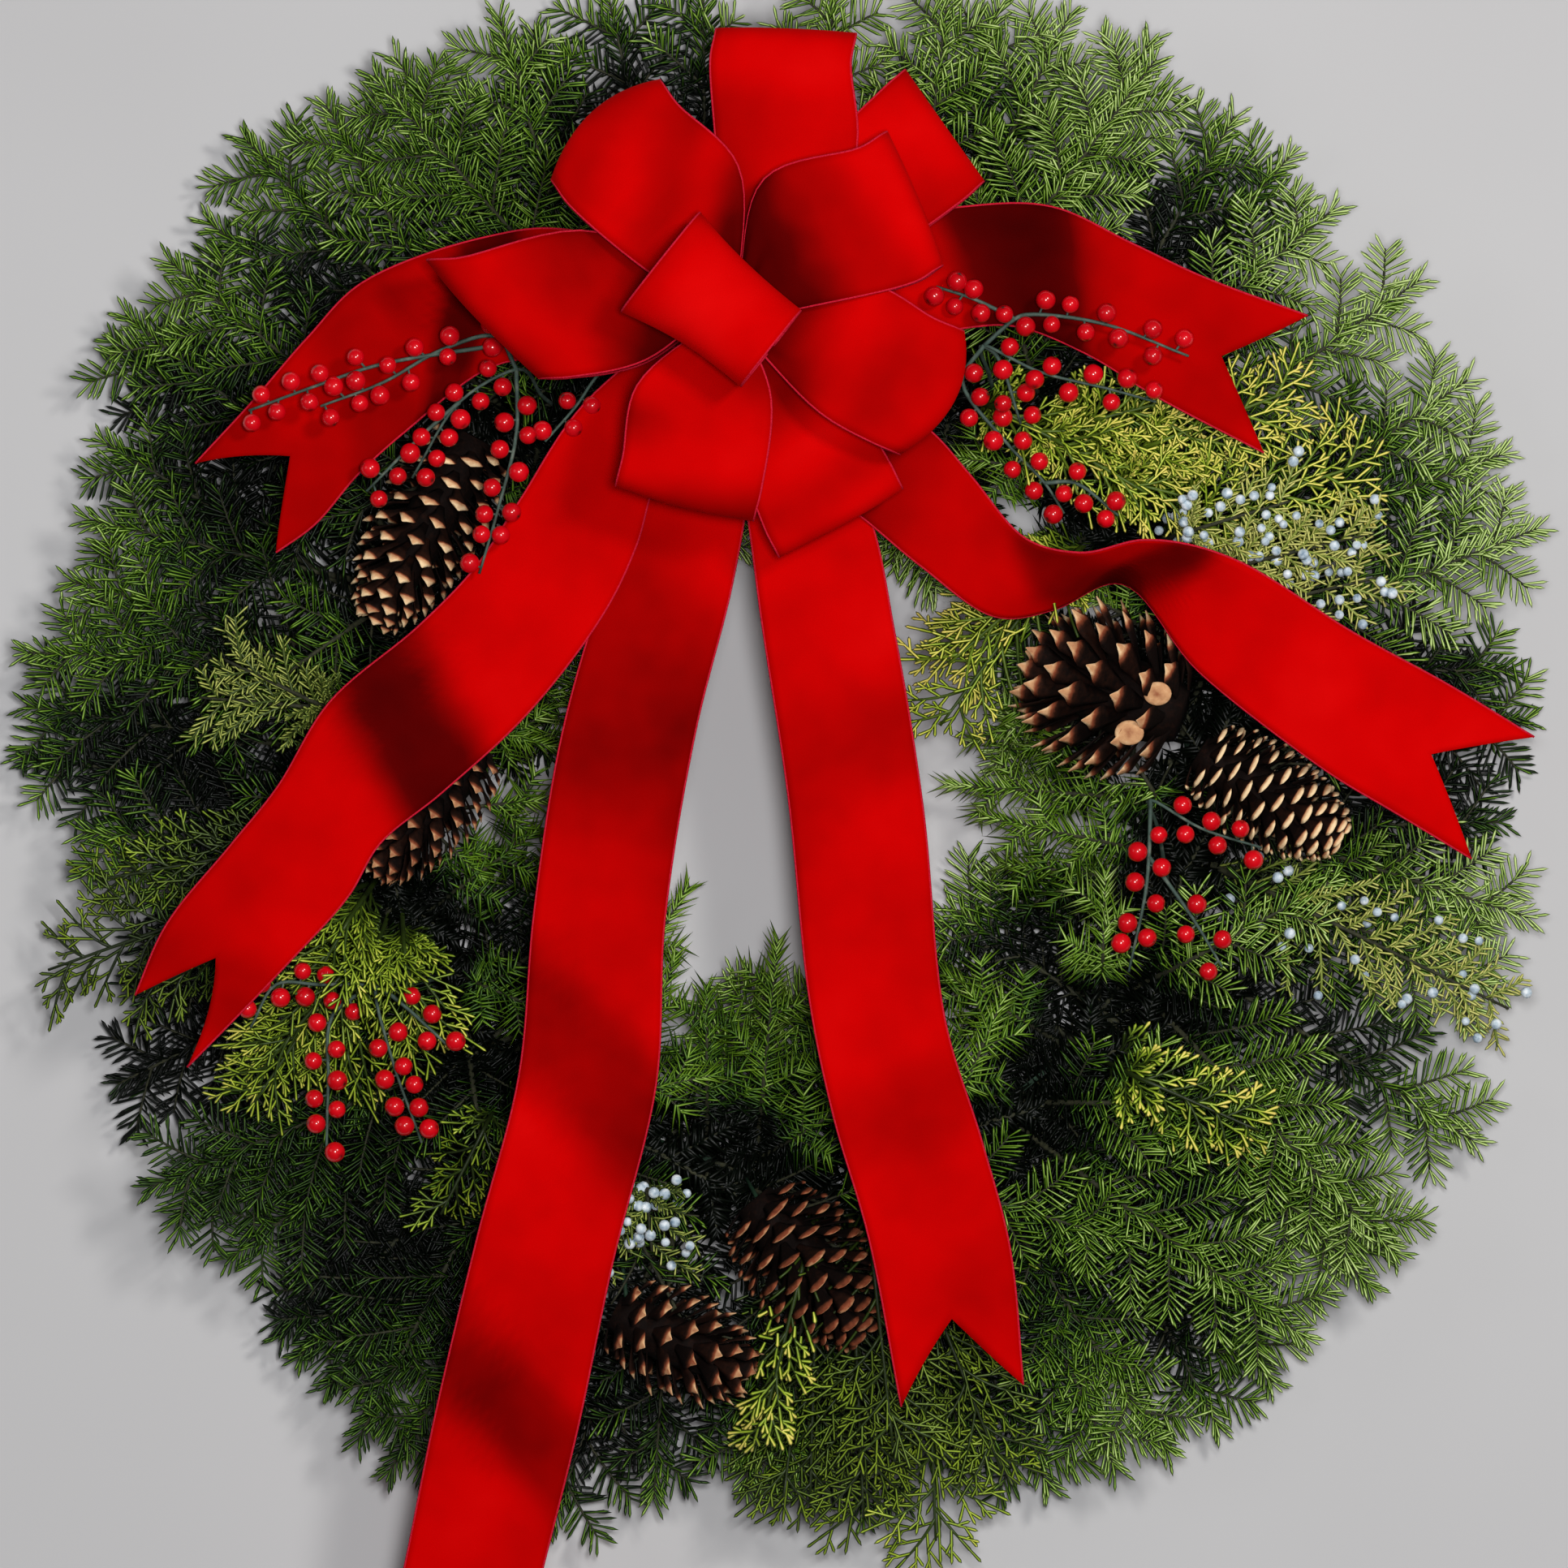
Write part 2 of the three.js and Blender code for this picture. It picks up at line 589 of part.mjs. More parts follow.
// Twigs are lists of points; the first twig's first point is at the ring.
const BERRY_SPRAYS = {
  berry_spray_upper_left: {
    seed: 3,
    twigs: [
      [[-101, 161, 0], [-112, 168, 60], [-123, 179, 103], [-149, 164, 104], [-171, 129, 102]],
      [[-123, 179, 103], [-132, 194, 103], [-157, 188, 104], [-184, 173, 104], [-213, 162, 103]],
      [[-132, 190, 103], [-186, 181, 105], [-213, 172, 105], [-246, 160, 102]],
      [[-149, 164, 104], [-166, 149, 104], [-192, 123, 100]],
      [[-123, 179, 103], [-123, 149, 106], [-131, 116, 105], [-140, 85, 104]],
    ],
  },
  berry_spray_inner_left: {
    seed: 5,
    twigs: [[[-55, 182, 0], [-64, 178, 60], [-84, 178, 92], [-96, 162, 93], [-110, 146, 96]]],
  },
  berry_spray_upper_right: {
    seed: 9,
    twigs: [
      [[101, 161, 0], [95, 178, 60], [92, 190, 101], [117, 178, 103], [149, 170, 104], [171, 164, 103]],
      [[92, 190, 101], [106, 202, 103], [111, 204, 104], [146, 200, 105], [186, 185, 103]],
      [[106, 202, 103], [88, 211, 103], [70, 217, 102]],
      [[92, 190, 101], [98, 185, 100], [109, 154, 96]],
      [[92, 190, 101], [82, 174, 96], [102, 146, 92], [120, 127, 92], [129, 113, 90]],
      [[120, 127, 92], [134, 127, 92], [154, 112, 92]],
    ],
  },
  berry_spray_lower_right: {
    seed: 12,
    twigs: [
      [[180, -62, 0], [173, -32, 62], [169, -19, 88], [192, -32, 92], [220, -41, 91]],
      [[169, -19, 88], [167, -58, 90], [159, -98, 84]],
      [[168, -45, 90], [188, -73, 88], [202, -96, 84]],
    ],
  },
  berry_spray_lower_left: {
    seed: 17,
    twigs: [
      [[-160, -102, 0], [-172, -104, 60], [-188, -104, 84], [-181, -137, 88], [-167, -177, 84]],
      [[-188, -104, 84], [-176, -113, 86], [-152, -135, 84]],
      [[-188, -104, 84], [-208, -118, 86], [-210, -150, 87], [-211, -183, 84]],
      [[-188, -104, 84], [-215, -104, 86], [-234, -104, 86], [-246, -124, 82]],
    ],
  },
};
const BERRY_SPACING = 38.5;
const FIRST_BERRY_AT = 120;
const FIRST_BERRY_ON_BRANCH = 20;

function berryTwigs(name) {
  const { twigs } = BERRY_SPRAYS[name];
  return twigs.map((points) =>
    points.map(([x, y, z]) => vec(x, y, Math.max(z, WIRE_SEAT_Z))),
  );
}

function berrySpray(name) {
  const draw = seeded(BERRY_SPRAYS[name].seed);
  const parts = [];
  berryTwigs(name).forEach((points, index) => {
    parts.push(solidOf(bentRod(points, BERRY_TWIG_RADIUS, 4)));
    claimPath(name, points, BERRY_TWIG_RADIUS);
    const path = bentPath(points);
    const length = path.getLength();
    const first = index === 0 ? FIRST_BERRY_AT : FIRST_BERRY_ON_BRANCH;
    let side = 1;
    for (let along = first; along <= length; along += BERRY_SPACING) {
      const root = path.getPoint(Math.min(1, along / length));
      const heading = path.getTangent(Math.min(1, along / length));
      const sideways = heading.cross(Z_AXIS).normalize().multiplyScalar(side);
      const stalk = BERRY_STALK + 2 * draw();
      const centre = root.clone().addScaledVector(sideways, stalk).add(vec(0, 0, 1.5 + 2 * draw()));
      side = -side;
      if (isClear(name, centre, centre.clone().setZ(centre.z + 0.1), BERRY_RADIUS, NEEDLE_GAP)) {
        parts.push(solidOf(rod(root, centre, BERRY_STALK_RADIUS, BERRY_STALK_RADIUS, 3)));
        parts.push(solidOf(ball(centre, BERRY_RADIUS, root)));
        claim(name, centre, centre.clone().setZ(centre.z + 0.1), BERRY_RADIUS);
      }
    }
  });
  return joined(parts);
}

// Greenery sprays

// A spray's habit: where its side twigs leave the stem, how they point and how long they are,
// and the size and lie of its needles.
const HABITS = {
  fir: { pairs: 3, first: 0.36, turn: 52, reach: 0.34, needle: 15, slant: 50, round: true },
  cedar: { pairs: 3, first: 0.3, turn: 38, reach: 0.42, needle: 20, slant: 32, round: false },
  juniper: { pairs: 2, first: 0.36, turn: 44, reach: 0.42, needle: 13, slant: 36, round: true },
};

// The angles and distances of the tips of the outer fir sprays, whose roots stand evenly
// round the ring.
const OUTER_TIPS = [
  [3, 352],
  [23, 368],
  [50, 372],
  [74, 370],
  [103, 370],
  [131, 388],
  [148, 374],
  [176, 358],
  [206, 350],
  [231, 364],
  [253, 378],
  [290, 366],
  [303, 376],
  [331, 372],
];
// The root, tip and reach of the fir sprays that lie over the others.
const UPPER_SPRAYS = [
  [70.5, 62, 372],
  [110.5, 121, 374],
  [224.5, 214, 360],
  [301, 312, 366],
  [327.5, 321, 370],
];

// Each spray is cut off at the ring at the angle root, and its tip lies at the angle and
// distance given. Level is the height of its middle, and droop is how far its tip sinks.
function firSprays() {
  const sprays = [];
  OUTER_TIPS.forEach(([tip, reach], i) => {
    const root = (i * 360) / OUTER_TIPS.length;
    const level = i % 2 ? 24 : 11;
    sprays.push({ habit: "fir", root, tip, reach, level, droop: i % 2 ? 6 : -2, seed: 20 + i });
  });
  for (let i = 0; i < 7; i++) {
    const root = 12.9 + (360 * i) / 7;
    const level = 10 + 8 * (i % 3);
    const rest = { reach: 104, level, droop: -2, pairs: 2, seed: 50 + i };
    sprays.push({ habit: "fir", root, tip: root - 3, ...rest });
  }
  UPPER_SPRAYS.forEach(([root, tip, reach], i) => {
    const rest = { level: 46, droop: 2, pairs: 2, seed: 70 + i };
    sprays.push({ habit: "fir", root, tip, reach, ...rest });
  });
  return sprays;
}

const CEDAR_SPRAYS = [
  { habit: "cedar", root: 192.9, tip: 196, reach: 358, level: 44, droop: 12, seed: 91 },
  { habit: "cedar", root: 199, tip: 213, reach: 292, level: 62, droop: 6, seed: 92 },
  { habit: "cedar", root: 38.6, tip: 12, reach: 74, level: 60, droop: 4, seed: 93 },
  { habit: "cedar", root: 44.6, tip: 32, reach: 226, level: 70, droop: 4, seed: 94 },
  { habit: "cedar", root: 32.5, tip: 27, reach: 300, level: 66, droop: 8, seed: 95 },
  { habit: "cedar", root: 315, tip: 322, reach: 284, level: 68, droop: 2, seed: 96 },
  { habit: "cedar", root: 289.5, tip: 281, reach: 374, level: 48, droop: 10, seed: 97 },
  { habit: "cedar", root: 275.5, tip: 270, reach: 346, level: 24, droop: -24, seed: 98 },
];

const JUNIPER_SPRAYS = [
  { habit: "juniper", root: 19, tip: 17, reach: 288, level: 60, droop: 4, seed: 101 },
  { habit: "juniper", root: 250, tip: 255, reach: 236, level: 62, droop: 2, seed: 102 },
  { habit: "juniper", root: 347.1, tip: 341, reach: 360, level: 44, droop: 4, seed: 103 },
  { habit: "juniper", root: 173.5, tip: 174, reach: 272, level: 62, droop: 4, seed: 104 },
];

function stemPoints(spray) {
  const outward = spray.reach > RING_RADIUS;
  const tip = polar(spray.tip, spray.reach, spray.level - spray.droop);
  const seat = polar(spray.root, RING_RADIUS, STEM_SEAT_Z);
  const flat = tip.clone().sub(seat).setZ(0).normalize();
  const span = Math.hypot(tip.x - seat.x, tip.y - seat.y);
  const back = outward || span > 2 * STEM_TAIL ? STEM_TAIL : STEM_TAIL / 2;
  const butt = seat.clone().addScaledVector(flat, -back);
  const before = seat.clone().addScaledVector(flat, STEM_BEYOND_RING);
  const rise = STEM_RISEN_AT + STEM_RISEN_SHARE * span;
  const risen = seat.clone().addScaledVector(flat, rise).setZ(spray.level);
  const middle = seat.clone().lerp(tip, STEM_MIDDLE_SHARE).setZ(spray.level);
  return [butt, before, risen, middle, tip];
}

// The twigs of a spray: its stem beyond the first fork, and the side twigs in pairs.
function sprayTwigs(spray) {
  const habit = HABITS[spray.habit];
  const draw = seeded(spray.seed);
  const points = stemPoints(spray);
  const path = bentPath(points);
  const length = points[0].distanceTo(points[4]);
  const twigs = [];
  const pairs = spray.pairs ?? habit.pairs;
  for (let pair = 0; pair < pairs; pair++) {
    for (const side of [-1, 1]) {
      const share = habit.first + ((0.9 - habit.first) * (pair + 0.15 * side)) / pairs;
      const from = path.getPoint(share);
      const heading = path.getTangent(share).setZ(0).normalize();
      const turn = radians(side * (habit.turn + 10 * (draw() - 0.5)));
      heading.applyAxisAngle(Z_AXIS, turn);
      const reach = length * habit.reach * (1 - 0.24 * pair) * (0.9 + 0.2 * draw());
      const to = from.clone().addScaledVector(heading, reach);
      to.z += 2 - 4 * draw();
      const needles = pair < 2 ? NEEDLES_ON_TWIG : NEEDLES_ON_LAST_TWIG;
      twigs.push({ from, to, needles });
    }
  }
  return { points, path, twigs };
}

// Needles stand round a twig, to its sides and above and below it, slanting toward its tip.
function needlesOn(habit, from, to, count, draw) {
  const along = to.clone().sub(from);
  const length = along.length();
  along.normalize();
  const sideways = along.clone().cross(Z_AXIS).normalize();
  const upward = sideways.clone().cross(along);
  const needles = [];
  for (let i = 0; i < count; i++) {
    const share = 0.93 - (0.66 * i) / count;
    const root = from.clone().addScaledVector(along, share * length);
    const quarter = habit.round ? i % 4 : i % 2;
    const out = (quarter < 2 ? sideways : upward).clone().multiplyScalar(quarter % 2 ? 1 : -1);
    const slant = radians(habit.slant + 12 * (draw() - 0.5));
    const heading = along.clone().multiplyScalar(Math.cos(slant)).addScaledVector(out, Math.sin(slant));
    const tip = root.clone().addScaledVector(heading, habit.needle * (0.92 + 0.16 * draw()));
    needles.push({ from: root, to: tip, radius: NEEDLE_RADIUS });
  }
  return needles;
}

function placeStem(name, spray) {
  claimPath(name, stemPoints(spray), STEM_RADIUS);
}

function placeTwigs(name, spray) {
  const { twigs } = sprayTwigs(spray);
  spray.kept = twigs.filter(({ from, to }) => {
    const clear = isClear(name, from, to, TWIG_RADIUS, BRANCH_GAP);
    if (clear) claim(name, from, to, TWIG_RADIUS);
    return clear;
  });
}

function greenSpray(name, spray) {
  const habit = HABITS[spray.habit];
  const draw = seeded(spray.seed + 500);
  const { points, path } = sprayTwigs(spray);
  const parts = [solidOf(bentRod(points, STEM_RADIUS, 4))];
  const needles = [];
  for (const { from, to, needles: count } of spray.kept) {
    parts.push(solidOf(rod(from, to, TWIG_RADIUS, TWIG_RADIUS, 4)));
    needles.push(...needlesOn(habit, from, to, count, draw));
  }
  const beyond = path.getPoint(NEEDLED_FROM);
  needles.push(...needlesOn(habit, beyond, points[4], NEEDLES_ON_STEM, draw));
  for (const needle of needles) {
    const outer = needle.from.clone().lerp(needle.to, NEEDLE_IN_TWIG);
    const apart = isClear("", outer, needle.to, needle.radius, NEEDLES_APART);
    const lifted = needle.to.z > LOWEST_NEEDLE_Z;
    if (lifted && apart && isClear(name, needle.from, needle.to, needle.radius, NEEDLE_GAP)) {
      claim(name, needle.from, needle.to, needle.radius);
      parts.push(solidOf(needleShape(needle)));
    }
  }
  if (spray.habit === "juniper") parts.push(...juniperBerries(name, spray, draw));
  return joined(parts);
}

function juniperBerries(name, spray, draw) {
  const berries = [];
  for (const { from, to } of spray.kept.slice(0, 3)) {
    const root = from.clone().lerp(to, 0.35 + 0.4 * draw());
    const centre = root.clone().setZ(root.z + JUNIPER_BERRY_RADIUS);
    const top = centre.clone().setZ(centre.z + 0.1);
    if (isClear(name, centre, top, JUNIPER_BERRY_RADIUS, NEEDLE_GAP)) {
      claim(name, centre, top, JUNIPER_BERRY_RADIUS);
      berries.push(solidOf(ball(centre, JUNIPER_BERRY_RADIUS, root)));
    }
  }
  return berries;
}

// Assembly

const wreath = new THREE.Group();

function addPiece(name, solid, colour) {
  const mesh = new THREE.Mesh(geometryOf(solid), new THREE.MeshStandardMaterial(colour));
  mesh.name = name;
  wreath.add(mesh);
}

const sprays = {};
const addSprays = (kind, list) =>
  list.forEach((spray, i) => {
    sprays[`${kind}_spray_${String(i + 1).padStart(2, "0")}`] = spray;
  });
addSprays("juniper", JUNIPER_SPRAYS);
addSprays("cedar", CEDAR_SPRAYS);
addSprays("fir", firSprays());

addPiece("wire_ring_frame", ringFrame(), COLOURS.wire);
addPiece("bow_loops", bow(), COLOURS.ribbon);
addPiece("bow_tie_wire", bowTie(), COLOURS.wire);
Object.keys(TAILS).forEach((name, level) => addPiece(name, ribbonTail(name, level), COLOURS.ribbon));
Object.keys(CONES).forEach(coneClaims);
Object.entries(sprays).forEach(([name, spray]) => placeStem(name, spray));
Object.keys(CONES).forEach((name) => addPiece(name, pineCone(name), COLOURS.cone));
Object.keys(BERRY_SPRAYS).forEach((name) => addPiece(name, berrySpray(name), COLOURS.berry));
Object.entries(sprays).forEach(([name, spray]) => placeTwigs(name, spray));
Object.entries(sprays).forEach(([name, spray]) => {
  addPiece(name, greenSpray(name, spray), COLOURS[spray.habit]);
});

// The origin is under the middle of the wreath's bounding box, on the surface it lies on.
const box = new THREE.Box3().setFromObject(wreath);
const middle = box.getCenter(new THREE.Vector3());
wreath.position.set(-middle.x, -middle.y, -box.min.z);

export default wreath;
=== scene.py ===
# A fresh evergreen wreath with a velvet bow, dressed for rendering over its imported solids.
# Points are in millimetres from the middle of the wire ring, +Y is the wreath's top and +Z is up.
import itertools
import math

import bpy
import numpy as np
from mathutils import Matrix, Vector


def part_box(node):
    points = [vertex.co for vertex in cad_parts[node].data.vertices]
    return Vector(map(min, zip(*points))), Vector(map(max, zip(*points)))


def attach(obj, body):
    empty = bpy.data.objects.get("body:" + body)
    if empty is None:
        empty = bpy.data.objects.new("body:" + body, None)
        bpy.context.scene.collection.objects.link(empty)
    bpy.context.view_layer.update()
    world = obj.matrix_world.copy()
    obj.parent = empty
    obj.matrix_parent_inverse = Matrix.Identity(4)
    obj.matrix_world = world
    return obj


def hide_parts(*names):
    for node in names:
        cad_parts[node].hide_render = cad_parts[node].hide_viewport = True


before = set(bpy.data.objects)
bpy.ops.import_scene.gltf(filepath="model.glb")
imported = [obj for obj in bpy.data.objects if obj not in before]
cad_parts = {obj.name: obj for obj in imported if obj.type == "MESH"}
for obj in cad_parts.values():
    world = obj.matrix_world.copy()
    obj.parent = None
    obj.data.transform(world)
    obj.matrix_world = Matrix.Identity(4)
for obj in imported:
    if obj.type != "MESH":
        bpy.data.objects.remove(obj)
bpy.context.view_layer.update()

MM = 1000
ring_low, ring_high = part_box("wire_ring_frame")
RING_CENTRE = np.array([(ring_low.x + ring_high.x) / 2 * MM, (ring_low.y + ring_high.y) / 2 * MM, 0.0])

RING_RADIUS = 190
LOWEST_Z = 0.7
UP = np.array([0.0, 0.0, 1.0])


# Camera, floor and light

FRAME_WIDTH = 721.6
FRAME_CENTRE = (0.0, -11.6)
FRAME_LEVEL = 95
CAMERA_HEIGHT = 6000
SENSOR_WIDTH = 36
FARTHEST_SEEN = 100
FLOOR_SIZE = 12
# Each light's place and size in metres, its power and its colour.
LIGHTS = {
    "key": ((1.15, 0.95, 2.35), 0.45, 26, (1.0, 0.985, 0.95)),
    "front": ((0.14, 0.12, 3.2), 0.45, 63, (0.98, 0.99, 1.0)),
    "fill": ((-1.7, 0.5, 1.6), 0.9, 3, (0.95, 0.98, 1.0)),
}
LIGHT_TARGET = (0, 0, 60)
SKY_COLOUR = (0.8, 0.82, 0.85, 1)
SKY_STRENGTH = 0.045


def place(x, y, z):
    """A point of the wreath in metres, where the frame has it."""
    return Vector(((x + RING_CENTRE[0]) / MM, (y + RING_CENTRE[1]) / MM, z / MM))


def make_camera():
    data = bpy.data.cameras.new("camera")
    data.sensor_width = SENSOR_WIDTH
    data.lens = SENSOR_WIDTH * (CAMERA_HEIGHT - FRAME_LEVEL) / FRAME_WIDTH
    data.clip_end = FARTHEST_SEEN
    camera = bpy.data.objects.new("camera", data)
    bpy.context.collection.objects.link(camera)
    camera.location = place(*FRAME_CENTRE, CAMERA_HEIGHT)
    bpy.context.scene.camera = camera


def make_studio():
    for name, (at, size, power, colour) in LIGHTS.items():
        data = bpy.data.lights.new(name, "AREA")
        data.size = size
        data.energy = power
        data.color = colour
        light = bpy.data.objects.new(name, data)
        bpy.context.collection.objects.link(light)
        light.location = at
        aim = place(*LIGHT_TARGET) - light.location
        light.rotation_euler = aim.to_track_quat("-Z", "Y").to_euler()
    world = bpy.data.worlds.new("studio")
    bpy.context.scene.world = world
    world.use_nodes = True
    sky = world.node_tree.nodes["Background"].inputs
    sky["Color"].default_value = SKY_COLOUR
    sky["Strength"].default_value = SKY_STRENGTH
    bpy.context.scene.view_settings.view_transform = "Standard"


# Seeded draws

DRAW_FACTOR, DRAW_STEP, DRAW_RANGE = 1664525, 1013904223, 2**32
# The first seed of each run of seeded pieces. Further fir sprays have first seeds of their own.
CONE_SEED, TAIL_SEED, LOOP_SEED, CENTRE_SEED, NAP_SEED, SPRAY_SEED = 60, 300, 400, 450, 500, 1000
FIR_SEED, OUTER_SEED, ACROSS_SEED, INNER_SEED, INNER_ACROSS_SEED, RIM_SEED, EXTRA_SEED, DEEP_SEED = (
    20, 120, 150, 180, 210, 270, 300, 330
)


class Draw:
    """The same run of numbers from 0 to 1 for the same seed."""

    def __init__(self, seed):
        self.state = seed

    def __call__(self):
        self.state = (self.state * DRAW_FACTOR + DRAW_STEP) % DRAW_RANGE
        return self.state / DRAW_RANGE

    def spread(self, low, high):
        return low + (high - low) * self()

    def many(self, count, low, high):
        return np.array([self.spread(low, high) for _ in range(count)])


# Materials

NOISE_ROUGHNESS = 0.55
# The tint of points whose material doesn't read it.
UNREAD = 0.5


class Nodes:
    """Adds nodes to a material and joins them."""

    def __init__(self, name):
        self.material = bpy.data.materials.new(name)
        self.material.use_nodes = True
        self.tree = self.material.node_tree
        self.shader = self.tree.nodes["Principled BSDF"]

    def add(self, kind, **values):
        node = self.tree.nodes.new(kind)
        for key, value in values.items():
            setattr(node, key, value)
        return node

    def put(self, value, socket):
        """Gives a socket a number, a colour or what another node puts out."""
        if isinstance(value, bpy.types.NodeSocket):
            self.tree.links.new(value, socket)
        else:
            socket.default_value = value

    def noise(self, scale, detail):
        node = self.add("ShaderNodeTexNoise")
        self.put(self.add("ShaderNodeTexCoord").outputs["Object"], node.inputs["Vector"])
        for name, value in (("Scale", scale), ("Detail", detail), ("Roughness", NOISE_ROUGHNESS)):
            self.put(value, node.inputs[name])
        return node.outputs["Fac"]

    def ramp(self, value, stops):
        node = self.add("ShaderNodeValToRGB")
        elements = node.color_ramp.elements
        while len(elements) < len(stops):
            elements.new(0.5)
        for element, (at, colour) in zip(elements, stops):
            element.position = at
            element.color = (*colour, 1)
        self.put(value, node.inputs["Fac"])
        return node.outputs["Color"]

    def maths(self, operation, first, second):
        node = self.add("ShaderNodeMath", operation=operation)
        self.put(first, node.inputs[0])
        self.put(second, node.inputs[1])
        return node.outputs["Value"]

    def patchy_tint(self, scale, detail, strength):
        """The tint that each point carries, with soft patches of noise on it."""
        patches = self.maths("SUBTRACT", self.noise(scale, detail), 0.5)
        tint = self.add("ShaderNodeAttribute", attribute_name="tint").outputs["Fac"]
        return self.maths("ADD", tint, self.maths("MULTIPLY", patches, strength))

    def mix(self, share, first, second):
        node = self.add("ShaderNodeMix", data_type="RGBA")
        for index, value in ((0, share), (6, first), (7, second)):
            self.put(value, node.inputs[index])
        return node.outputs[2]

    def bump(self, height, strength, distance):
        node = self.add("ShaderNodeBump")
        for name, value in (("Strength", strength), ("Distance", distance), ("Height", height)):
            self.put(value, node.inputs[name])
        self.put(node.outputs["Normal"], self.shader.inputs["Normal"])

    def finish(self, colour, roughness, **sockets):
        for name, value in {"Base_Color": colour, "Roughness": roughness, **sockets}.items():
            self.put(value, self.shader.inputs[name.replace("_", " ")])
        return self.material


def ramp_material(name, patches, relief, stops, roughness, **sockets):
    """Patches are a noise's scale and detail, with a strength where they lie on the tint. Relief
    is a noise's scale and detail, its strength and its depth in metres."""
    nodes = Nodes(name)
    value = nodes.patchy_tint(*patches) if len(patches) == 3 else nodes.noise(*patches)
    if relief:
        nodes.bump(nodes.noise(*relief[:2]), *relief[2:])
    return nodes.finish(nodes.ramp(value, stops), roughness, **sockets)


def leaf_material(name, stops, roughness, gloss):
    nodes = Nodes(name)
    rough = nodes.maths("ADD", nodes.maths("MULTIPLY", nodes.noise(900, 3), 0.2), roughness)
    nodes.bump(nodes.noise(1400, 3), 0.25, 0.0004)
    colour = nodes.ramp(nodes.patchy_tint(60, 3, 0.3), stops)
    return nodes.finish(colour, rough, Specular_IOR_Level=gloss)


def velvet_material(stops):
    nodes = Nodes("velvet")
    pile = nodes.noise(2600, 2)
    colour = nodes.ramp(nodes.patchy_tint(14, 3, 0.65), stops)
    colour = nodes.mix(nodes.maths("MULTIPLY", pile, 0.2), colour, (0.15, 0.0, 0.0, 1.0))
    nodes.bump(pile, 0.35, 0.0003)
    sheen = dict(Sheen_Weight=0.12, Sheen_Roughness=0.4, Sheen_Tint=(1.0, 0.01, 0.01, 1.0))
    return nodes.finish(colour, 0.85, Specular_IOR_Level=0.02, **sheen)


# The palest stop of the needles serves their painted ridge highlights.
FIR = leaf_material(
    "fir_needles",
    [
        (0.0, (0.0005, 0.002, 0.0003)),
        (0.25, (0.008, 0.028, 0.002)),
        (0.5, (0.05, 0.125, 0.008)),
        (0.75, (0.18, 0.33, 0.015)),
        (1.0, (0.6, 0.75, 0.28)),
    ],
    0.35,
    0.25,
)
CEDAR = leaf_material(
    "cedar_scales",
    [
        (0.0, (0.012, 0.022, 0.002)),
        (0.3, (0.04, 0.075, 0.004)),
        (0.6, (0.2, 0.3, 0.015)),
        (0.85, (0.42, 0.56, 0.035)),
        (1.0, (0.9, 0.74, 0.16)),
    ],
    0.4,
    0.4,
)
JUNIPER = leaf_material(
    "juniper_leaves",
    [
        (0.0, (0.012, 0.022, 0.004)),
        (0.4, (0.1, 0.15, 0.02)),
        (0.75, (0.34, 0.4, 0.07)),
        (1.0, (0.6, 0.58, 0.16)),
    ],
    0.4,
    0.4,
)
BARK = ramp_material(
    "brown_twig",
    (500, 5),
    (900, 5, 0.5, 0.0006),
    [(0.3, (0.008, 0.01, 0.003)), (0.7, (0.04, 0.04, 0.014))],
    0.8,
)
VELVET = velvet_material(
    [
        (0.0, (0.012, 0.0, 0.0)),
        (0.3, (0.1, 0.0, 0.0)),
        (0.55, (0.36, 0.0, 0.0)),
        (0.85, (0.68, 0.0, 0.0003)),
        (1.0, (0.78, 0.002, 0.002)),
    ]
)
WIRED_EDGE = ramp_material(
    "wired_edge",
    (1500, 2),
    (1500, 2, 0.6, 0.0004),
    [(0.3, (0.42, 0.003, 0.015)), (0.7, (0.7, 0.015, 0.045))],
    0.85,
    Specular_IOR_Level=0.1,
)
CONE = ramp_material(
    "cone_scale",
    (300, 5, 0.35),
    (700, 4, 0.5, 0.0006),
    [
        (0.0, (0.004, 0.0012, 0.0006)),
        (0.2, (0.025, 0.007, 0.003)),
        (0.45, (0.25, 0.06, 0.025)),
        (0.7, (0.66, 0.35, 0.17)),
        (0.9, (0.98, 0.72, 0.42)),
    ],
    0.8,
    Specular_IOR_Level=0.12,
)
BERRY = ramp_material(
    "berry_skin",
    (220, 3, 0.3),
    (400, 2, 0.1, 0.0003),
    [
        (0.0, (0.02, 0.008, 0.005)),
        (0.2, (0.3, 0.0, 0.002)),
        (0.7, (0.68, 0.0, 0.006)),
        (1.0, (0.8, 0.002, 0.01)),
    ],
    0.55,
    Specular_IOR_Level=0.1,
    Coat_Weight=0.8,
    Coat_Roughness=0.16,
)
BLOOM = ramp_material(
    "juniper_berry_skin",
    (260, 4),
    (260, 4, 0.2, 0.0003),
    [(0.3, (0.16, 0.24, 0.33)), (0.48, (0.5, 0.6, 0.68)), (0.65, (0.88, 0.92, 0.95))],
    0.6,
)
WRAPPED = ramp_material(
    "wrapped_twig",
    (160, 4),
    (1200, 3, 0.5, 0.0004),
    [(0.3, (0.022, 0.04, 0.03)), (0.55, (0.05, 0.09, 0.07)), (0.75, (0.16, 0.18, 0.14))],
    0.7,
)
WIRE = ramp_material(
    "green_wire",
    (200, 4),
    (900, 3, 0.3, 0.0003),
    [(0.3, (0.008, 0.024, 0.012)), (0.7, (0.016, 0.04, 0.022))],
    0.65,
    Specular_IOR_Level=0.15,
)
FLOOR = ramp_material(
    "floor",
    (3, 2),
    None,
    [(0.3, (0.56, 0.55, 0.555)), (0.7, (0.59, 0.58, 0.585))],
    0.9,
    Specular_IOR_Level=0.1,
)


# Shapes


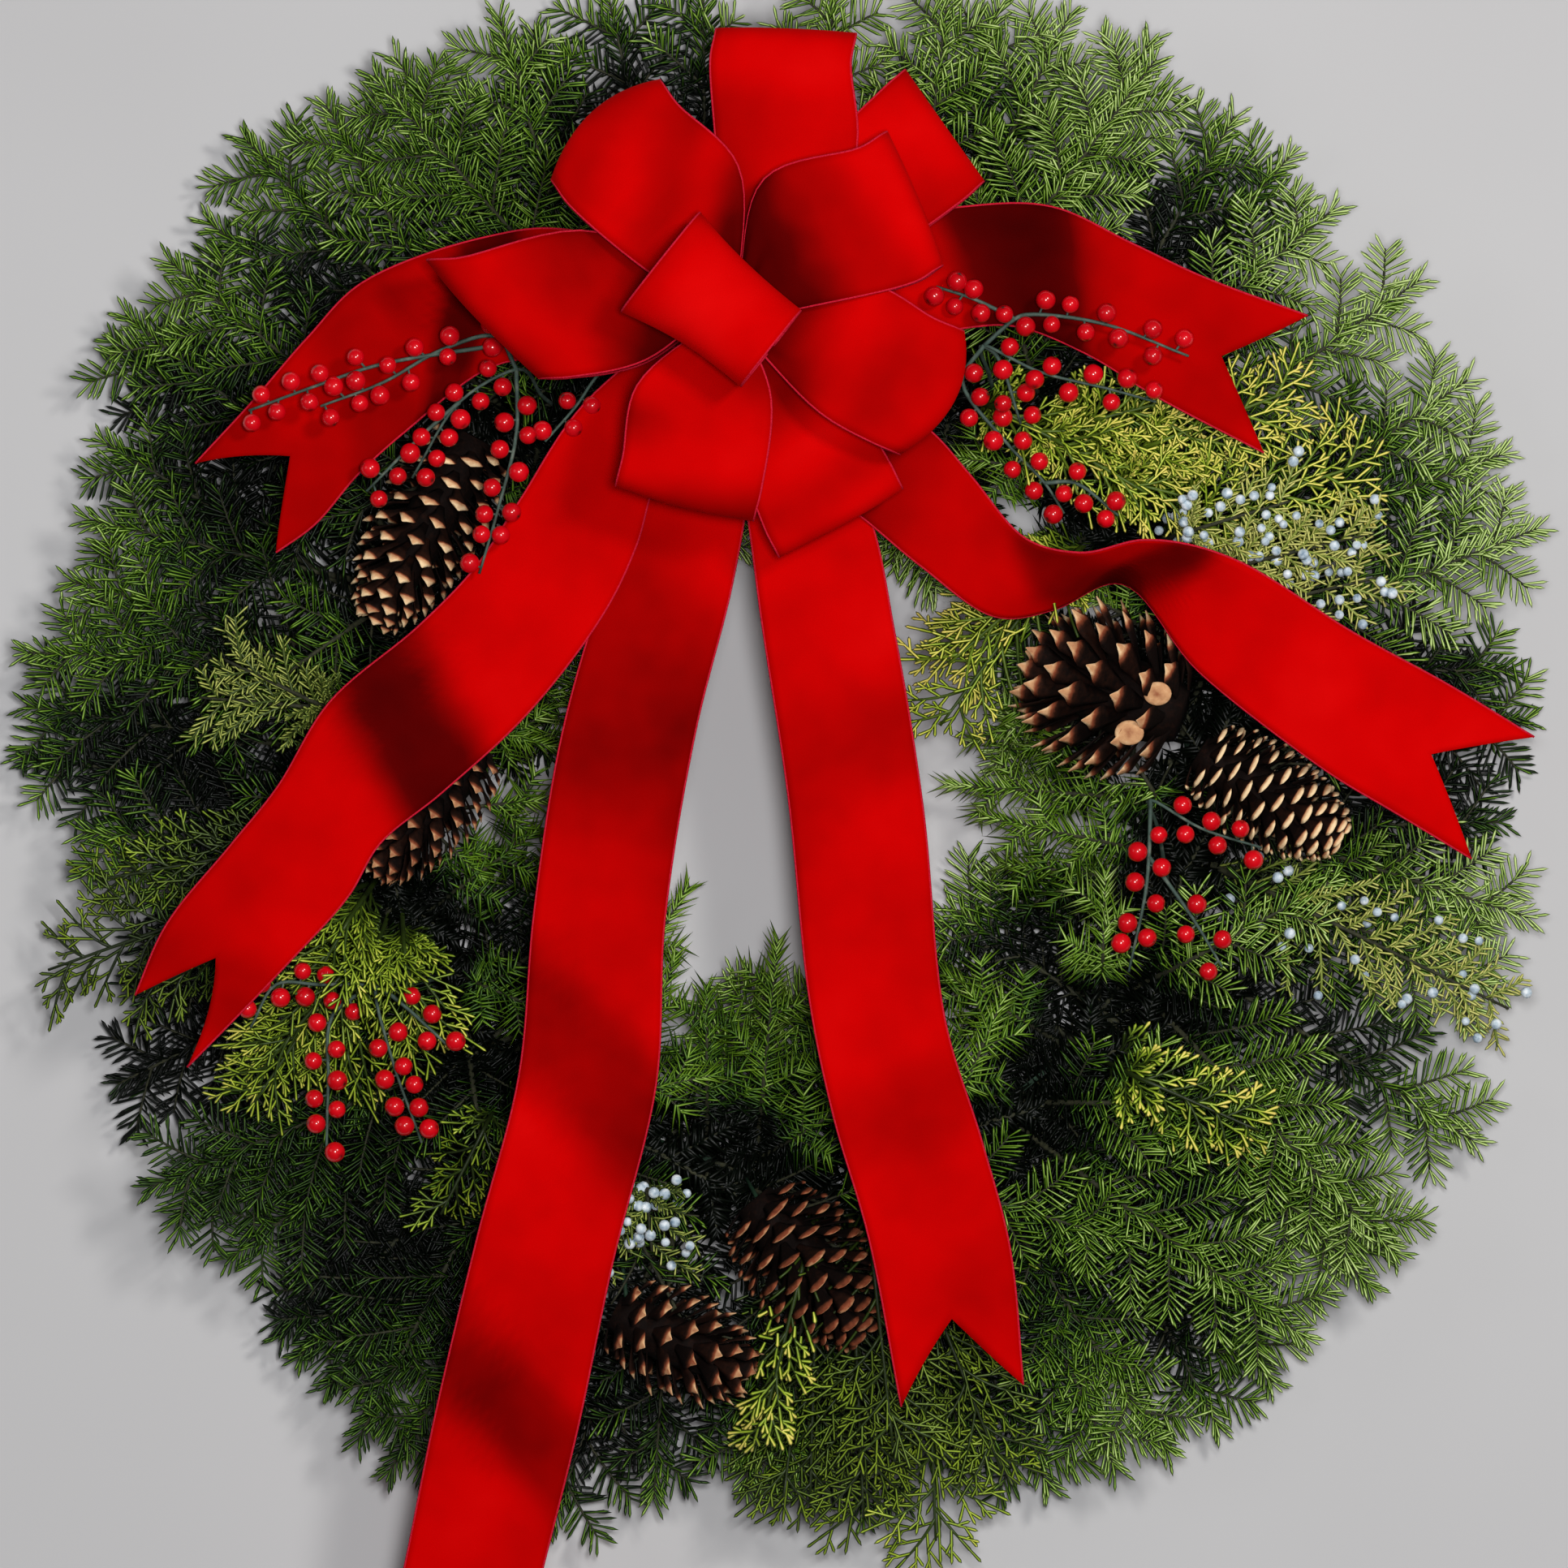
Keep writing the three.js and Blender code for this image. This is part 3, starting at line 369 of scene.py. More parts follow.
class Shape:
    """Gathers points and faces in millimetres and makes one mesh of them."""

    def __init__(self):
        self.points, self.tints, self.faces, self.slots, self.soft = [], [], [], [], []
        self.count = 0

    def add(self, points, faces, tints, slot=0, flat_faces=()):
        points = np.asarray(points, float).reshape(-1, 3)
        self.points.append(points)
        self.tints.append(np.broadcast_to(np.asarray(tints, float), (len(points),)))
        for smooth, group in ((True, faces), (False, flat_faces)):
            for some in group:
                self.faces.append(np.asarray(some, np.int64) + self.count)
                self.slots.append(np.full(len(some), slot))
                self.soft.append(np.full(len(some), smooth))
        self.count += len(points)

    def build(self, name, materials, slot, replaced=()):
        points = np.concatenate(self.points)
        points[:, 2] = np.maximum(points[:, 2], LOWEST_Z)
        corners = np.concatenate([some.ravel() for some in self.faces])
        sizes = np.concatenate([np.full(len(some), some.shape[1]) for some in self.faces])
        mesh = bpy.data.meshes.new(name)
        mesh.vertices.add(len(points))
        mesh.vertices.foreach_set("co", ((points + RING_CENTRE) / MM).ravel())
        mesh.loops.add(len(corners))
        mesh.loops.foreach_set("vertex_index", corners.astype(np.int32))
        mesh.polygons.add(len(sizes))
        mesh.polygons.foreach_set("loop_start", (np.cumsum(sizes) - sizes).astype(np.int32))
        mesh.polygons.foreach_set("material_index", np.concatenate(self.slots).astype(np.int32))
        mesh.polygons.foreach_set("use_smooth", np.concatenate(self.soft))
        mesh.update(calc_edges=True)
        tint = mesh.attributes.new("tint", "FLOAT", "POINT")
        tint.data.foreach_set("value", np.concatenate(self.tints).astype(np.float32))
        for material in materials:
            mesh.materials.append(material)
        piece = bpy.data.objects.new(name, mesh)
        bpy.context.collection.objects.link(piece)
        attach(piece, "root")
        if replaced:
            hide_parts(*replaced)
        return piece


def unit(vectors):
    vectors = np.asarray(vectors, float)
    return vectors / np.maximum(np.linalg.norm(vectors, axis=-1, keepdims=True), 1e-9)


def polar(degrees, radius, z):
    angle = math.radians(degrees)
    return np.array([radius * math.cos(angle), radius * math.sin(angle), z])


def turned(ways, degrees):
    """Directions turned about the upright, all by one angle or each by its own."""
    angles = np.radians(degrees)
    cos, sin = np.cos(angles), np.sin(angles)
    x, y, z = np.moveaxis(ways, -1, 0)
    return np.stack([x * cos - y * sin, x * sin + y * cos, z], -1)


def curve(points, per_span):
    """A smooth path through the points."""
    points = np.asarray(points, float)
    padded = np.concatenate([[2 * points[0] - points[1]], points, [2 * points[-1] - points[-2]]])
    steps = np.maximum(np.linalg.norm(np.diff(padded, axis=0), axis=1), 1e-6) ** 0.5
    path = []
    for i in range(1, len(padded) - 2):
        before, start, end, after = padded[i - 1 : i + 3]
        d0, d1, d2 = steps[i - 1 : i + 2]
        leave = d1 * ((start - before) / d0 - (end - before) / (d0 + d1) + (end - start) / d1)
        reach = d1 * ((end - start) / d1 - (after - start) / (d1 + d2) + (after - end) / d2)
        t = np.linspace(0, 1, per_span, endpoint=False)[:, None]
        path.append(
            (2 * t**3 - 3 * t**2 + 1) * start
            + (t**3 - 2 * t**2 + t) * leave
            + (3 * t**2 - 2 * t**3) * end
            + (t**3 - t**2) * reach
        )
    return np.concatenate([*path, [points[-1]]])


def arc_shares(path):
    """How far along the path each of its points lies, from 0 to 1, and the path's length."""
    lengths = np.concatenate([[0], np.cumsum(np.linalg.norm(np.diff(path, axis=0), axis=1))])
    return lengths / lengths[-1], lengths[-1]


def along(path, shares):
    """The points of a path at these shares of its length, and the way it heads there."""
    known, _ = arc_shares(path)
    shares = np.asarray(shares, float)
    apart = 0.02

    def at(places):
        return np.stack([np.interp(places, known, path[:, i]) for i in range(3)], -1)

    return at(shares), unit(at(np.minimum(shares + apart, 1)) - at(np.maximum(shares - apart, 0)))


def quads_between(rings, sides):
    """The faces between rings of points, one ring after the other."""
    here = np.arange(sides)
    there = (here + 1) % sides
    rows = (np.arange(rings - 1) * sides)[:, None]
    corners = [rows + here, rows + there, rows + there + sides, rows + here + sides]
    return np.stack(corners, -1).reshape(-1, 4)


def add_tube(shape, path, radii, sides, tints, slot=0):
    """A closed round rod along a path."""
    path = np.asarray(path, float)
    count = len(path)
    headings = unit(np.gradient(path, axis=0))
    sideways = np.cross(headings, UP)
    sideways = np.where(np.linalg.norm(sideways, axis=1, keepdims=True) < 0.05, [1.0, 0, 0], sideways)
    sideways = unit(sideways - headings * np.sum(sideways * headings, 1, keepdims=True))
    upward = np.cross(sideways, headings)
    angles = 2 * np.pi * np.arange(sides) / sides
    radii = np.broadcast_to(radii, (count,))[:, None, None]
    rings = path[:, None] + radii * (
        np.cos(angles)[None, :, None] * sideways[:, None] + np.sin(angles)[None, :, None] * upward[:, None]
    )
    here = np.arange(sides)
    there = (here + 1) % sides
    last = (count - 1) * sides
    first_fan = np.stack([np.full(sides, count * sides), there, here], -1)
    last_fan = np.stack([np.full(sides, count * sides + 1), last + here, last + there], -1)
    points = np.concatenate([rings.reshape(-1, 3), path[:1], path[-1:]])
    tints = np.asarray(tints, float)
    if tints.ndim:
        tints = np.concatenate([np.repeat(tints, sides), tints[:1], tints[-1:]])
    shape.add(points, [quads_between(count, sides), np.concatenate([first_fan, last_fan])], tints, slot)


# How far a leaf's ridge is painted lighter, as a highlight, and its edges darker, as shade.
RIDGE_HIGHLIGHT = 0.38
RIDGE_HEIGHT = 0.32


def add_blades(shape, roots, headings, ups, lengths, widths, profile, tints, tip_tint, bends):
    """Many slim leaves at once, each with a painted highlight along its ridge and painted shade on its
    edges. profile lists (share of length, share of width) from root to tip."""
    count = len(roots)
    if not count:
        return
    sides = unit(np.cross(headings, ups))
    tops = np.cross(sides, headings)
    lengths, widths, bends = lengths[:, None], widths[:, None], bends[:, None]
    rings = []
    shades = []
    for share, width in profile[:-1]:
        middle = roots + headings * lengths * share + tops * bends * lengths * share**2
        half = sides * widths * width / 2
        rings += [middle + half, middle + tops * widths * width * RIDGE_HEIGHT, middle - half]
        tint = tints + tip_tint * share**2
        shades += [tint - RIDGE_HIGHLIGHT, tint + RIDGE_HIGHLIGHT, tint - RIDGE_HIGHLIGHT]
    share = profile[-1][0]
    rings.append(roots + headings * lengths * share + tops * bends * lengths * share**2)
    shades.append(tints + tip_tint * share)
    per = len(rings)
    last = per - 4
    tris = np.array([[last + side, last + (side + 1) % 3, per - 1] for side in range(3)])
    quads = quads_between(len(profile) - 1, 3)
    starts = (np.arange(count) * per)[:, None, None]
    faces = [(tris + starts).reshape(-1, 3), (quads + starts).reshape(-1, 4)]
    shape.add(np.stack(rings, 1).reshape(-1, 3), faces, np.stack(shades, 1).ravel())


def ball_parts(detail):
    """The points and triangles of a round ball of radius one."""
    golden = (1 + 5**0.5) / 2
    corners = []
    for a in (-1, 1):
        for b in (-golden, golden):
            corners += [(0, a, b), (a, b, 0), (b, 0, a)]
    points = unit(np.array(corners, float))
    edge = np.min(np.linalg.norm(points[0] - points[1:], axis=1)) * 1.01
    near = np.linalg.norm(points[:, None] - points[None], axis=2) < edge
    faces = []
    for i, j, k in itertools.combinations(range(len(points)), 3):
        if near[i, j] and near[j, k] and near[i, k]:
            outward = np.dot(np.cross(points[j] - points[i], points[k] - points[i]), points[i])
            faces.append((i, j, k) if outward > 0 else (i, k, j))
    for _ in range(detail):
        points, faces = finer(points, faces)
    return points, np.array(faces)


def finer(points, faces):
    """Splits each triangle of a ball into four."""
    found = {}
    grown = list(points)
    split = []

    def between(a, b):
        key = (min(a, b), max(a, b))
        if key not in found:
            found[key] = len(grown)
            grown.append(unit(grown[a] + grown[b]))
        return found[key]

    for a, b, c in faces:
        ab, bc, ca = between(a, b), between(b, c), between(c, a)
        split += [(a, ab, ca), (b, bc, ab), (c, ca, bc), (ab, bc, ca)]
    return np.array(grown), split


BALL = ball_parts(2)
SMALL_BALL = ball_parts(1)


# What keeps the greenery clear: cones, berries and ribbon

blocks = []
POINTS_AT_ONCE = 4000


def block(start, end, radius):
    """Keeps the greenery out of a rod with round ends."""
    blocks.append([*start, *end, radius])


def clear_of_blocks(points):
    """True for each point that lies outside every block."""
    held = np.array(blocks)
    starts, lines, radii = held[:, :3], held[:, 3:6] - held[:, :3], held[:, 6]
    squares = np.maximum(np.sum(lines**2, 1), 1e-9)
    clear = np.ones(len(points), bool)
    for first in range(0, len(points), POINTS_AT_ONCE):
        some = slice(first, first + POINTS_AT_ONCE)
        away = points[some, None] - starts
        share = np.clip(np.sum(away * lines, 2) / squares, 0, 1)
        gap = np.linalg.norm(away - share[..., None] * lines, axis=2)
        clear[some] = np.all(gap > radii, axis=1)
    return clear


CELL = 3.0
GRID_HALF = 420.0
GRID = int(2 * GRID_HALF / CELL)
ceiling = np.full((GRID, GRID), 1e3)
RIBBON_GAP = 4.0


def cells(points):
    return np.clip(((points[..., :2] + GRID_HALF) / CELL).astype(int), 0, GRID - 1)


def add_ceiling(surface):
    """Greenery stays below this ribbon, a grid of points."""
    between = (surface[1:] + surface[:-1]) / 2
    points = np.concatenate([surface, between]).reshape(-1, 3)
    for shift in ((0, 0), (CELL, 0), (-CELL, 0), (0, CELL), (0, -CELL)):
        at = cells(points[:, :2] + shift)
        np.minimum.at(ceiling, (at[:, 0], at[:, 1]), points[:, 2])


def under_ribbon(points):
    """Lowers points that would come through a ribbon."""
    at = cells(points)
    top = ceiling[at[..., 0], at[..., 1]] - RIBBON_GAP
    lowered = points.copy()
    lowered[..., 2] = np.minimum(points[..., 2], top)
    return lowered


# Ribbon

RIBBON_WIDTH = 63.5
VELVET_THICKNESS = 0.9
EDGE_WIRE = 0.55

BOW_CENTRE = np.array([-23.0, 204.0, 0.0])
KNOT_BOTTOM_Z = 104.6
KNOT_TOP_Z = 158.0
TAIL_ROOT_Z = 95.0
TAIL_STACK_STEP = 1.7
TAIL_ROOT_HALF_WIDTH = 12.0
LOOP_ROOT_HALF_WIDTH = 6.0
LOOP_ROLL = 8.0
LOOP_STACK_STEP = 1.3
RIBBON_COLUMNS = 17
OPEN_VELVET = 0.8
# How firmly the pinch holds the height of each tail's first rows.
TAIL_HOLD = (1, 0.45)

# Each tail's notch as a share of its length. Its shaded folds, bands of painted shade where the velvet
# turns away from the light: where each lies along the tail, how far it reaches and how dark it is, and
# its slant. Its rows: x and y of the left and of the right edge, and the height of both, from the bow to
# the tail's end.
TAILS = {
    "ribbon_tail_centre_left": dict(
        notch=0.05,
        shaded_folds=[
            (0.02, 0.1, 0.35, 0.0), (0.3, 0.12, 0.3, -0.03),
            (0.56, 0.055, 0.36, -0.04), (0.81, 0.04, 0.33, -0.04),
        ],
        rows=[
            (-61, 128, -16, 128, 92, 92), (-82, 80, -24, 80, 92, 92), (-102, 12, -41, 12, 90, 90),
            (-115, -70, -55, -74, 88, 88), (-122, -146, -59, -150, 92, 92), (-141, -220, -79, -232, 96, 96),
            (-160, -300, -95, -308, 93, 93), (-174, -368, -112, -376, 82, 82),
            (-184, -413, -122, -417, 74, 74),
        ],
    ),
    "ribbon_tail_centre_right": dict(
        notch=0.07,
        shaded_folds=[(0.0, 0.1, 0.4, 0.0), (0.42, 0.05, 0.12, 0.05), (0.74, 0.04, 0.12, 0.04)],
        rows=[
            (-18, 120, 37, 118, 92, 92), (-10, 62, 51, 57, 92, 92), (2, -17, 64, -23, 90, 90),
            (12, -112, 74, -120, 90, 90), (23, -165, 91, -176, 95, 95), (39, -220, 104, -226, 99, 99),
            (54, -298, 110, -288, 99, 99),
        ],
    ),
    "ribbon_tail_lower_left": dict(
        notch=0.1,
        shaded_folds=[(0.0, 0.12, 0.4, 0.0), (0.57, 0.065, 0.55, 0.03), (0.93, 0.05, 0.12, 0.0)],
        rows=[
            (-58, 130, -92, 163, 94, 96), (-68, 98, -122, 118, 95, 97), (-83, 67, -142, 88, 96, 97),
            (-118, 21, -168, 61, 97, 98), (-158, -16, -209, 26, 97, 98), (-186, -39, -233, -13, 97, 95),
            (-201, -64, -255, -40, 98, 93), (-232, -98, -284, -76, 96, 91), (-275, -142, -299, -109, 90, 88),
        ],
    ),
    "ribbon_tail_lower_right": dict(
        notch=0.09,
        shaded_folds=[(0.12, 0.15, 0.45, 0.0), (0.47, 0.05, 0.35, 0.04), (0.56, 0.035, 0.45, -0.03)],
        rows=[
            (14, 130, 35, 173, 96, 98), (41, 107, 67, 151, 97, 98), (64, 88, 86, 130, 94, 97),
            (97, 66, 111, 101, 84, 99), (125, 69, 136, 95, 74, 102), (156, 80, 166, 101, 74, 104),
            (192, 40, 206, 92, 86, 100), (249, -5, 262, 58, 92, 94), (282, -25, 306, 34, 90, 90),
            (317, -46, 346, 10, 84, 84),
        ],
    ),
    "ribbon_tail_upper_left": dict(
        notch=0.13,
        shaded_folds=[
            (0.05, 0.16, 0.4, 0.0), (0.47, 0.06, 0.5, 0.06), (0.66, 0.1, 0.3, 0.0), (0.92, 0.16, 0.2, 0.0),
        ],
        rows=[
            (-92, 185, -99, 243, 94, 95), (-133, 181, -137, 240, 94, 95), (-174, 151, -194, 219, 95, 96),
            (-196, 131, -219, 194, 95, 95), (-216, 108, -246, 163, 93, 93), (-234, 95, -271, 136, 92, 92),
        ],
    ),
    "ribbon_tail_upper_right": dict(
        notch=0.12,
        shaded_folds=[(0.0, 0.16, 0.5, 0.0), (0.5, 0.12, 0.6, 0.05), (0.75, 0.3, 0.14, 0.0)],
        rows=[
            (31, 186, 31, 243, 94, 94), (82, 198, 84, 254, 94, 95), (107, 199, 123, 254, 95, 96),
            (140, 186, 160, 237, 95, 98), (171, 167, 192, 222, 94, 96), (221, 141, 241, 204, 91, 92),
        ],
    ),
}

# Each loop's outer and middle corners from the pinch, x and y for both of its edges; its lowest
# and highest level; the bulge that rounds its outer end; and the share of it next to the pinch that
# is painted dark as shade in the middle of the bow.
LOOPS = {
    "top": ([-8, 130, 56, 128], [-8, 74, 55, 70], 108, 134, 1, 0.34),
    "far_right": ([79, 112, 115, 61], [26, 58, 70, 28], 108, 127, 0, 0.35),
    "upper_left": ([-83, 60, -34, 106], [-36, 16, 2, 66], 112, 150, 10, 0.3),
    "upper_right": ([70, 82, 95, 21], [14, 60, 35, 2], 113, 152, 1, 0.38),
    "left": ([-140, 24, -89, -30], [-62, 36, -40, -22], 111, 142, 2, 0.38),
    "right": ([105, -9, 76, -65], [60, 13, 39, -46], 112, 148, 11, 0.28),
    "bottom_right": ([77, -80, 21, -112], [56, -45, 6, -74], 108, 130, 1, 0.3),
    "bottom_left": ([9, -95, -54, -80], [17, -40, -44, -34], 114, 146, 1, 0.1),
}


def ripple(share, across, seed, size):
    """Soft creases out of the plane of a ribbon."""
    draw = Draw(seed)
    height = np.zeros(np.broadcast(share, across).shape)
    for _ in range(4):
        waves = draw.spread(2, 6)
        lean = draw.spread(-1.5, 1.5)
        height = height + size * draw.spread(0.3, 1) * np.sin(
            2 * np.pi * (waves * share + lean * across * 0.3) + 6 * draw()
        )
    return height


def ribbon_shape(left, right, notch, offset, shade):
    """A strip of velvet between two edges, with a wire in each edge, and its middle surface."""
    known, _ = arc_shares((left + right) / 2)
    rows = len(left)
    across = np.linspace(-1, 1, RIBBON_COLUMNS)
    limit = 1 - notch * (1 - np.abs(across))
    shares = known[:, None] * limit[None]
    surface = np.zeros((rows, RIBBON_COLUMNS, 3))
    for column, c in enumerate(across):
        for axis in range(3):
            edge = (1 - c) / 2 * left[:, axis] + (1 + c) / 2 * right[:, axis]
            surface[:, column, axis] = np.interp(shares[:, column], known, edge)
    normals = unit(np.cross(np.gradient(surface, axis=1), np.gradient(surface, axis=0)))
    surface = surface + offset(shares, across[None], normals)
    shape = Shape()
    add_sheet(shape, surface, normals, shade(shares, across[None]))
    for column in (0, RIBBON_COLUMNS - 1):
        add_tube(shape, surface[:, column], EDGE_WIRE, 6, UNREAD, 1)
    return shape, surface


def add_sheet(shape, surface, normals, tints):
    """A closed thin sheet, half of its thickness on each side of the surface."""
    rows, columns = surface.shape[:2]
    half = normals * VELVET_THICKNESS / 2
    points = np.concatenate([(surface + half).reshape(-1, 3), (surface - half).reshape(-1, 3)])
    index = np.arange(rows * columns).reshape(rows, columns)
    a, b, c, d = index[:-1, :-1], index[:-1, 1:], index[1:, 1:], index[1:, :-1]
    top = np.stack([a, b, c, d], -1).reshape(-1, 4)
    bottom = top[:, ::-1] + rows * columns
    rim = np.concatenate([index[0, :], index[1:, -1], index[-1, -2::-1], index[-2:0:-1, 0]])
    onward = np.roll(rim, -1)
    side = np.stack([onward, rim, rim + rows * columns, onward + rows * columns], -1)
    tints = np.tile(np.broadcast_to(tints, (rows, columns)).ravel(), 2)
    shape.add(points, [top, bottom], tints, flat_faces=[side])


def painted_fold_shade(shaded_folds, share, c):
    """Painted shade: velvet is painted darker in soft bands across a tail, where its folds and pile turn away
    from the light.
    """
    tint = np.full(np.broadcast(share, c).shape, OPEN_VELVET)
    for at, reach, depth, slant in shaded_folds:
        distance = (share + slant * c - at) / reach
        tint = tint - depth * np.exp(-np.minimum(distance**4, 40))
    return tint


def build_tail(name, level):
    tail = TAILS[name]
    rows = np.array(tail["rows"], float)
    root_z = TAIL_ROOT_Z + TAIL_STACK_STEP * level
    hold = np.zeros(len(rows))
    hold[: len(TAIL_HOLD)] = TAIL_HOLD
    edges = []
    across = unit(np.array([rows[0, 2] - rows[0, 0], rows[0, 3] - rows[0, 1], 0])) * TAIL_ROOT_HALF_WIDTH
    for first, sign in ((0, -1), (2, 1)):
        height = rows[:, 4 + first // 2]
        height = height + (root_z - height) * hold
        points = np.column_stack([rows[:, first], rows[:, first + 1], height])
        root = np.array([BOW_CENTRE[0], BOW_CENTRE[1], root_z]) + sign * across
        edges.append(curve([root, *points], 10))
    crease = 0.5 + 0.35 * level

    def offset(share, c, normals):
        held = np.clip(share * 6, 0, 1) * (1 - 0.3 * np.abs(c))
        height = held * ripple(share, c, TAIL_SEED + level, 0.7)
        height = height + crease * 0.8 * (1 - c**2) * np.sin(9 * share + level)
        return normals * height[..., None]

    def shade(share, c):
        return painted_fold_shade(tail["shaded_folds"], share, c)

    shape, surface = ribbon_shape(edges[0], edges[1], tail["notch"], offset, shade)
    add_ceiling(surface)
    _, length = arc_shares(surface[:, 0])
    piece = shape.build(name + "_velvet", [VELVET, WIRED_EDGE], "ribbon", [name])


def loop_edges(outers, middles, low, high, order):
    """Both edges of a loop: out below, round its outer end and back on top."""
    edges = []
    heading = unit(np.array([outers[0] + outers[2], outers[1] + outers[3], 0.0]))
    roll = LOOP_ROLL
    step = LOOP_STACK_STEP * order
    for first, sign in ((0, -1), (2, 1)):
        outer = BOW_CENTRE + [*outers[first : first + 2], 0]
        middle = BOW_CENTRE + [*middles[first : first + 2], 0]
        root = BOW_CENTRE + np.cross(heading, UP) * sign * LOOP_ROOT_HALF_WIDTH
        stations = [
            (root, KNOT_BOTTOM_Z + 4 + step, 4),
            (middle, low, 0),
            (outer, max(low + 3, high - 2 * roll - 4), -roll * 1.6),
            (outer, high - roll * 1.5, -roll * 0.25),
            (outer, high - roll * 0.8, 0),
            (outer, high - roll * 0.1, -roll * 0.45),
            (outer, high + roll * 0.3, -roll * 1.8),
            (middle, high + roll * 0.7, 0),
            (root, KNOT_TOP_Z - 6 - step, 5),
        ]
        edges.append(curve([[*(point + heading * out)[:2], z] for point, z, out in stations], 8))
    return edges


def build_loop(name, order):
    *path, bulge, root_shade = LOOPS[name]
    left, right = loop_edges(*path, order)
    middle = (left + right) / 2
    known, length = arc_shares(middle)
    heading = unit(middle[np.argmax(np.linalg.norm((middle - BOW_CENTRE)[:, :2], axis=1))] - BOW_CENTRE)
    heading = unit(heading * [1, 1, 0])
    outermost = known[np.argmax(middle @ heading)]

    def offset(share, c, normals):
        pinch = np.clip(1 - 4 * share, 0, 1) ** 2 + np.clip(4 * share - 3, 0, 1) ** 2
        pleats = 2.2 * pinch * np.cos(3 * np.pi * c + order)
        height = pleats + 0.5 * ripple(share, c, LOOP_SEED + order, 0.8) * (1 - pinch)
        end = np.exp(-(((share - outermost) / 0.12) ** 2)) * (1 - c**2)
        return normals * height[..., None] + heading * (bulge * end)[..., None]

    # Painted shade: the loop is darker near the pinch, on its lower strip and toward both edges; the ripple
    # is a mottle of the pile.
    def shade(share, c):
        pinch_shade = np.clip((share - 1 + root_shade) / 0.25, 0, 1)
        painted_shading = 0.76 - 0.07 * c**2 - 0.3 * np.clip((outermost - share) / 0.2, 0, 1)
        return painted_shading - 0.55 * pinch_shade**1.5 + 0.06 * ripple(share, c, NAP_SEED + order, 1.0)

    shape, surface = ribbon_shape(left, right, 0, offset, shade)
    add_ceiling(surface)
    piece = shape.build("bow_loop_" + name, [VELVET, WIRED_EDGE], "ribbon", ["bow_loops"])


CENTRE_LOOP = dict(middle=(-31, 206, 172), heading=-38.5, half_across=25, half_high=17)


def build_centre_loop():
    """The small loop that covers the pinch, an oval tube of ribbon."""
    heading = math.radians(CENTRE_LOOP["heading"])
    axis = np.array([math.cos(heading), math.sin(heading), 0])
    outward = np.array([-math.sin(heading), math.cos(heading), 0])
    turns = np.linspace(-0.48 * np.pi, 1.48 * np.pi, 49)
    middle = np.array(CENTRE_LOOP["middle"], float)
    half = axis * RIBBON_WIDTH / 2
    edges = []
    for side, spread in ((-1, 1.12), (1, 0.84)):
        across = CENTRE_LOOP["half_across"] * spread * np.sign(np.cos(turns)) * np.abs(np.cos(turns)) ** 0.8
        up = CENTRE_LOOP["half_high"] * np.sin(turns)
        edges.append(middle + outward * across[:, None] + UP * up[:, None] + side * half)
    _, length = arc_shares((edges[0] + edges[1]) / 2)

    def offset(share, c, normals):
        height = ripple(share, c, CENTRE_SEED, 0.5) + 2.5 * (1 - c**2) * np.sin(np.pi * share)
        return normals * height[..., None]

    # Painted shade: darker where the loop turns under at both ends and along one edge.
    def shade(share, c):
        return 0.84 - 0.3 * np.clip(-c - 0.55, 0, 1) - 1.2 * np.clip(np.abs(share - 0.5) - 0.27, 0, 1)

    shape, _ = ribbon_shape(edges[0], edges[1], 0, offset, shade)
    piece = shape.build("bow_loop_centre", [VELVET, WIRED_EDGE], "ribbon", ["bow_loops"])


# Pine cones

# Each cone's base, tip and width; its scales' pitch, how much paler than others they are, and
# their style; and the angle at which its wire meets the ring.
CONES = {
    "pine_cone_upper_left": ([-143, 149, 62], [-188, 66, 56], 54, 11.0, 0.12, "wedge", 141),
    "pine_cone_left": ([-140, 6, 56], [-188, -50, 56], 46, 9.5, -0.15, "point", 186.5),
    "pine_cone_right_round": ([184, 20, 66], [124, 40, 56], 80, 13, -0.02, "point", 7),
    "pine_cone_right_long": ([192, 3, 60], [254, -36, 60], 50, 9.2, 0.2, "crescent", 353),
    "pine_cone_bottom_left": ([-79, -256, 60], [-20, -284, 60], 50, 11.5, -0.14, "point", 244.3),
    "pine_cone_bottom": ([-14, -204, 58], [34, -262, 58], 60, 10.6, -0.3, "crescent", 263.5),
}
CONE_WIRE_SEAT_Z = 5.2
CONE_WIRE_RADIUS = 1.0
GOLDEN_ANGLE = 2.399963
# The cone's core is painted near black: painted shade deep among the scales.
CORE_SHADE = 0.0
# A cone's core as a share of its girth, the area that its scales cover as a share of the area
# round it, and how far up the cone its last scale sits.
CORE_GIRTH, SCALES_COVER, LAST_SCALE = 0.46, 0.85, 0.94
THINNEST_CORE = 1.5
# The rods that keep greenery out of a cone, and how far out of it they stand.
CONE_BLOCKS, CONE_CLEARANCE = 6, 1
# The middle and radius of the round cone's worn scales.
WORN_PLATES = [(172, 30, 91, 6.5), (159, 12, 92, 6.8)]

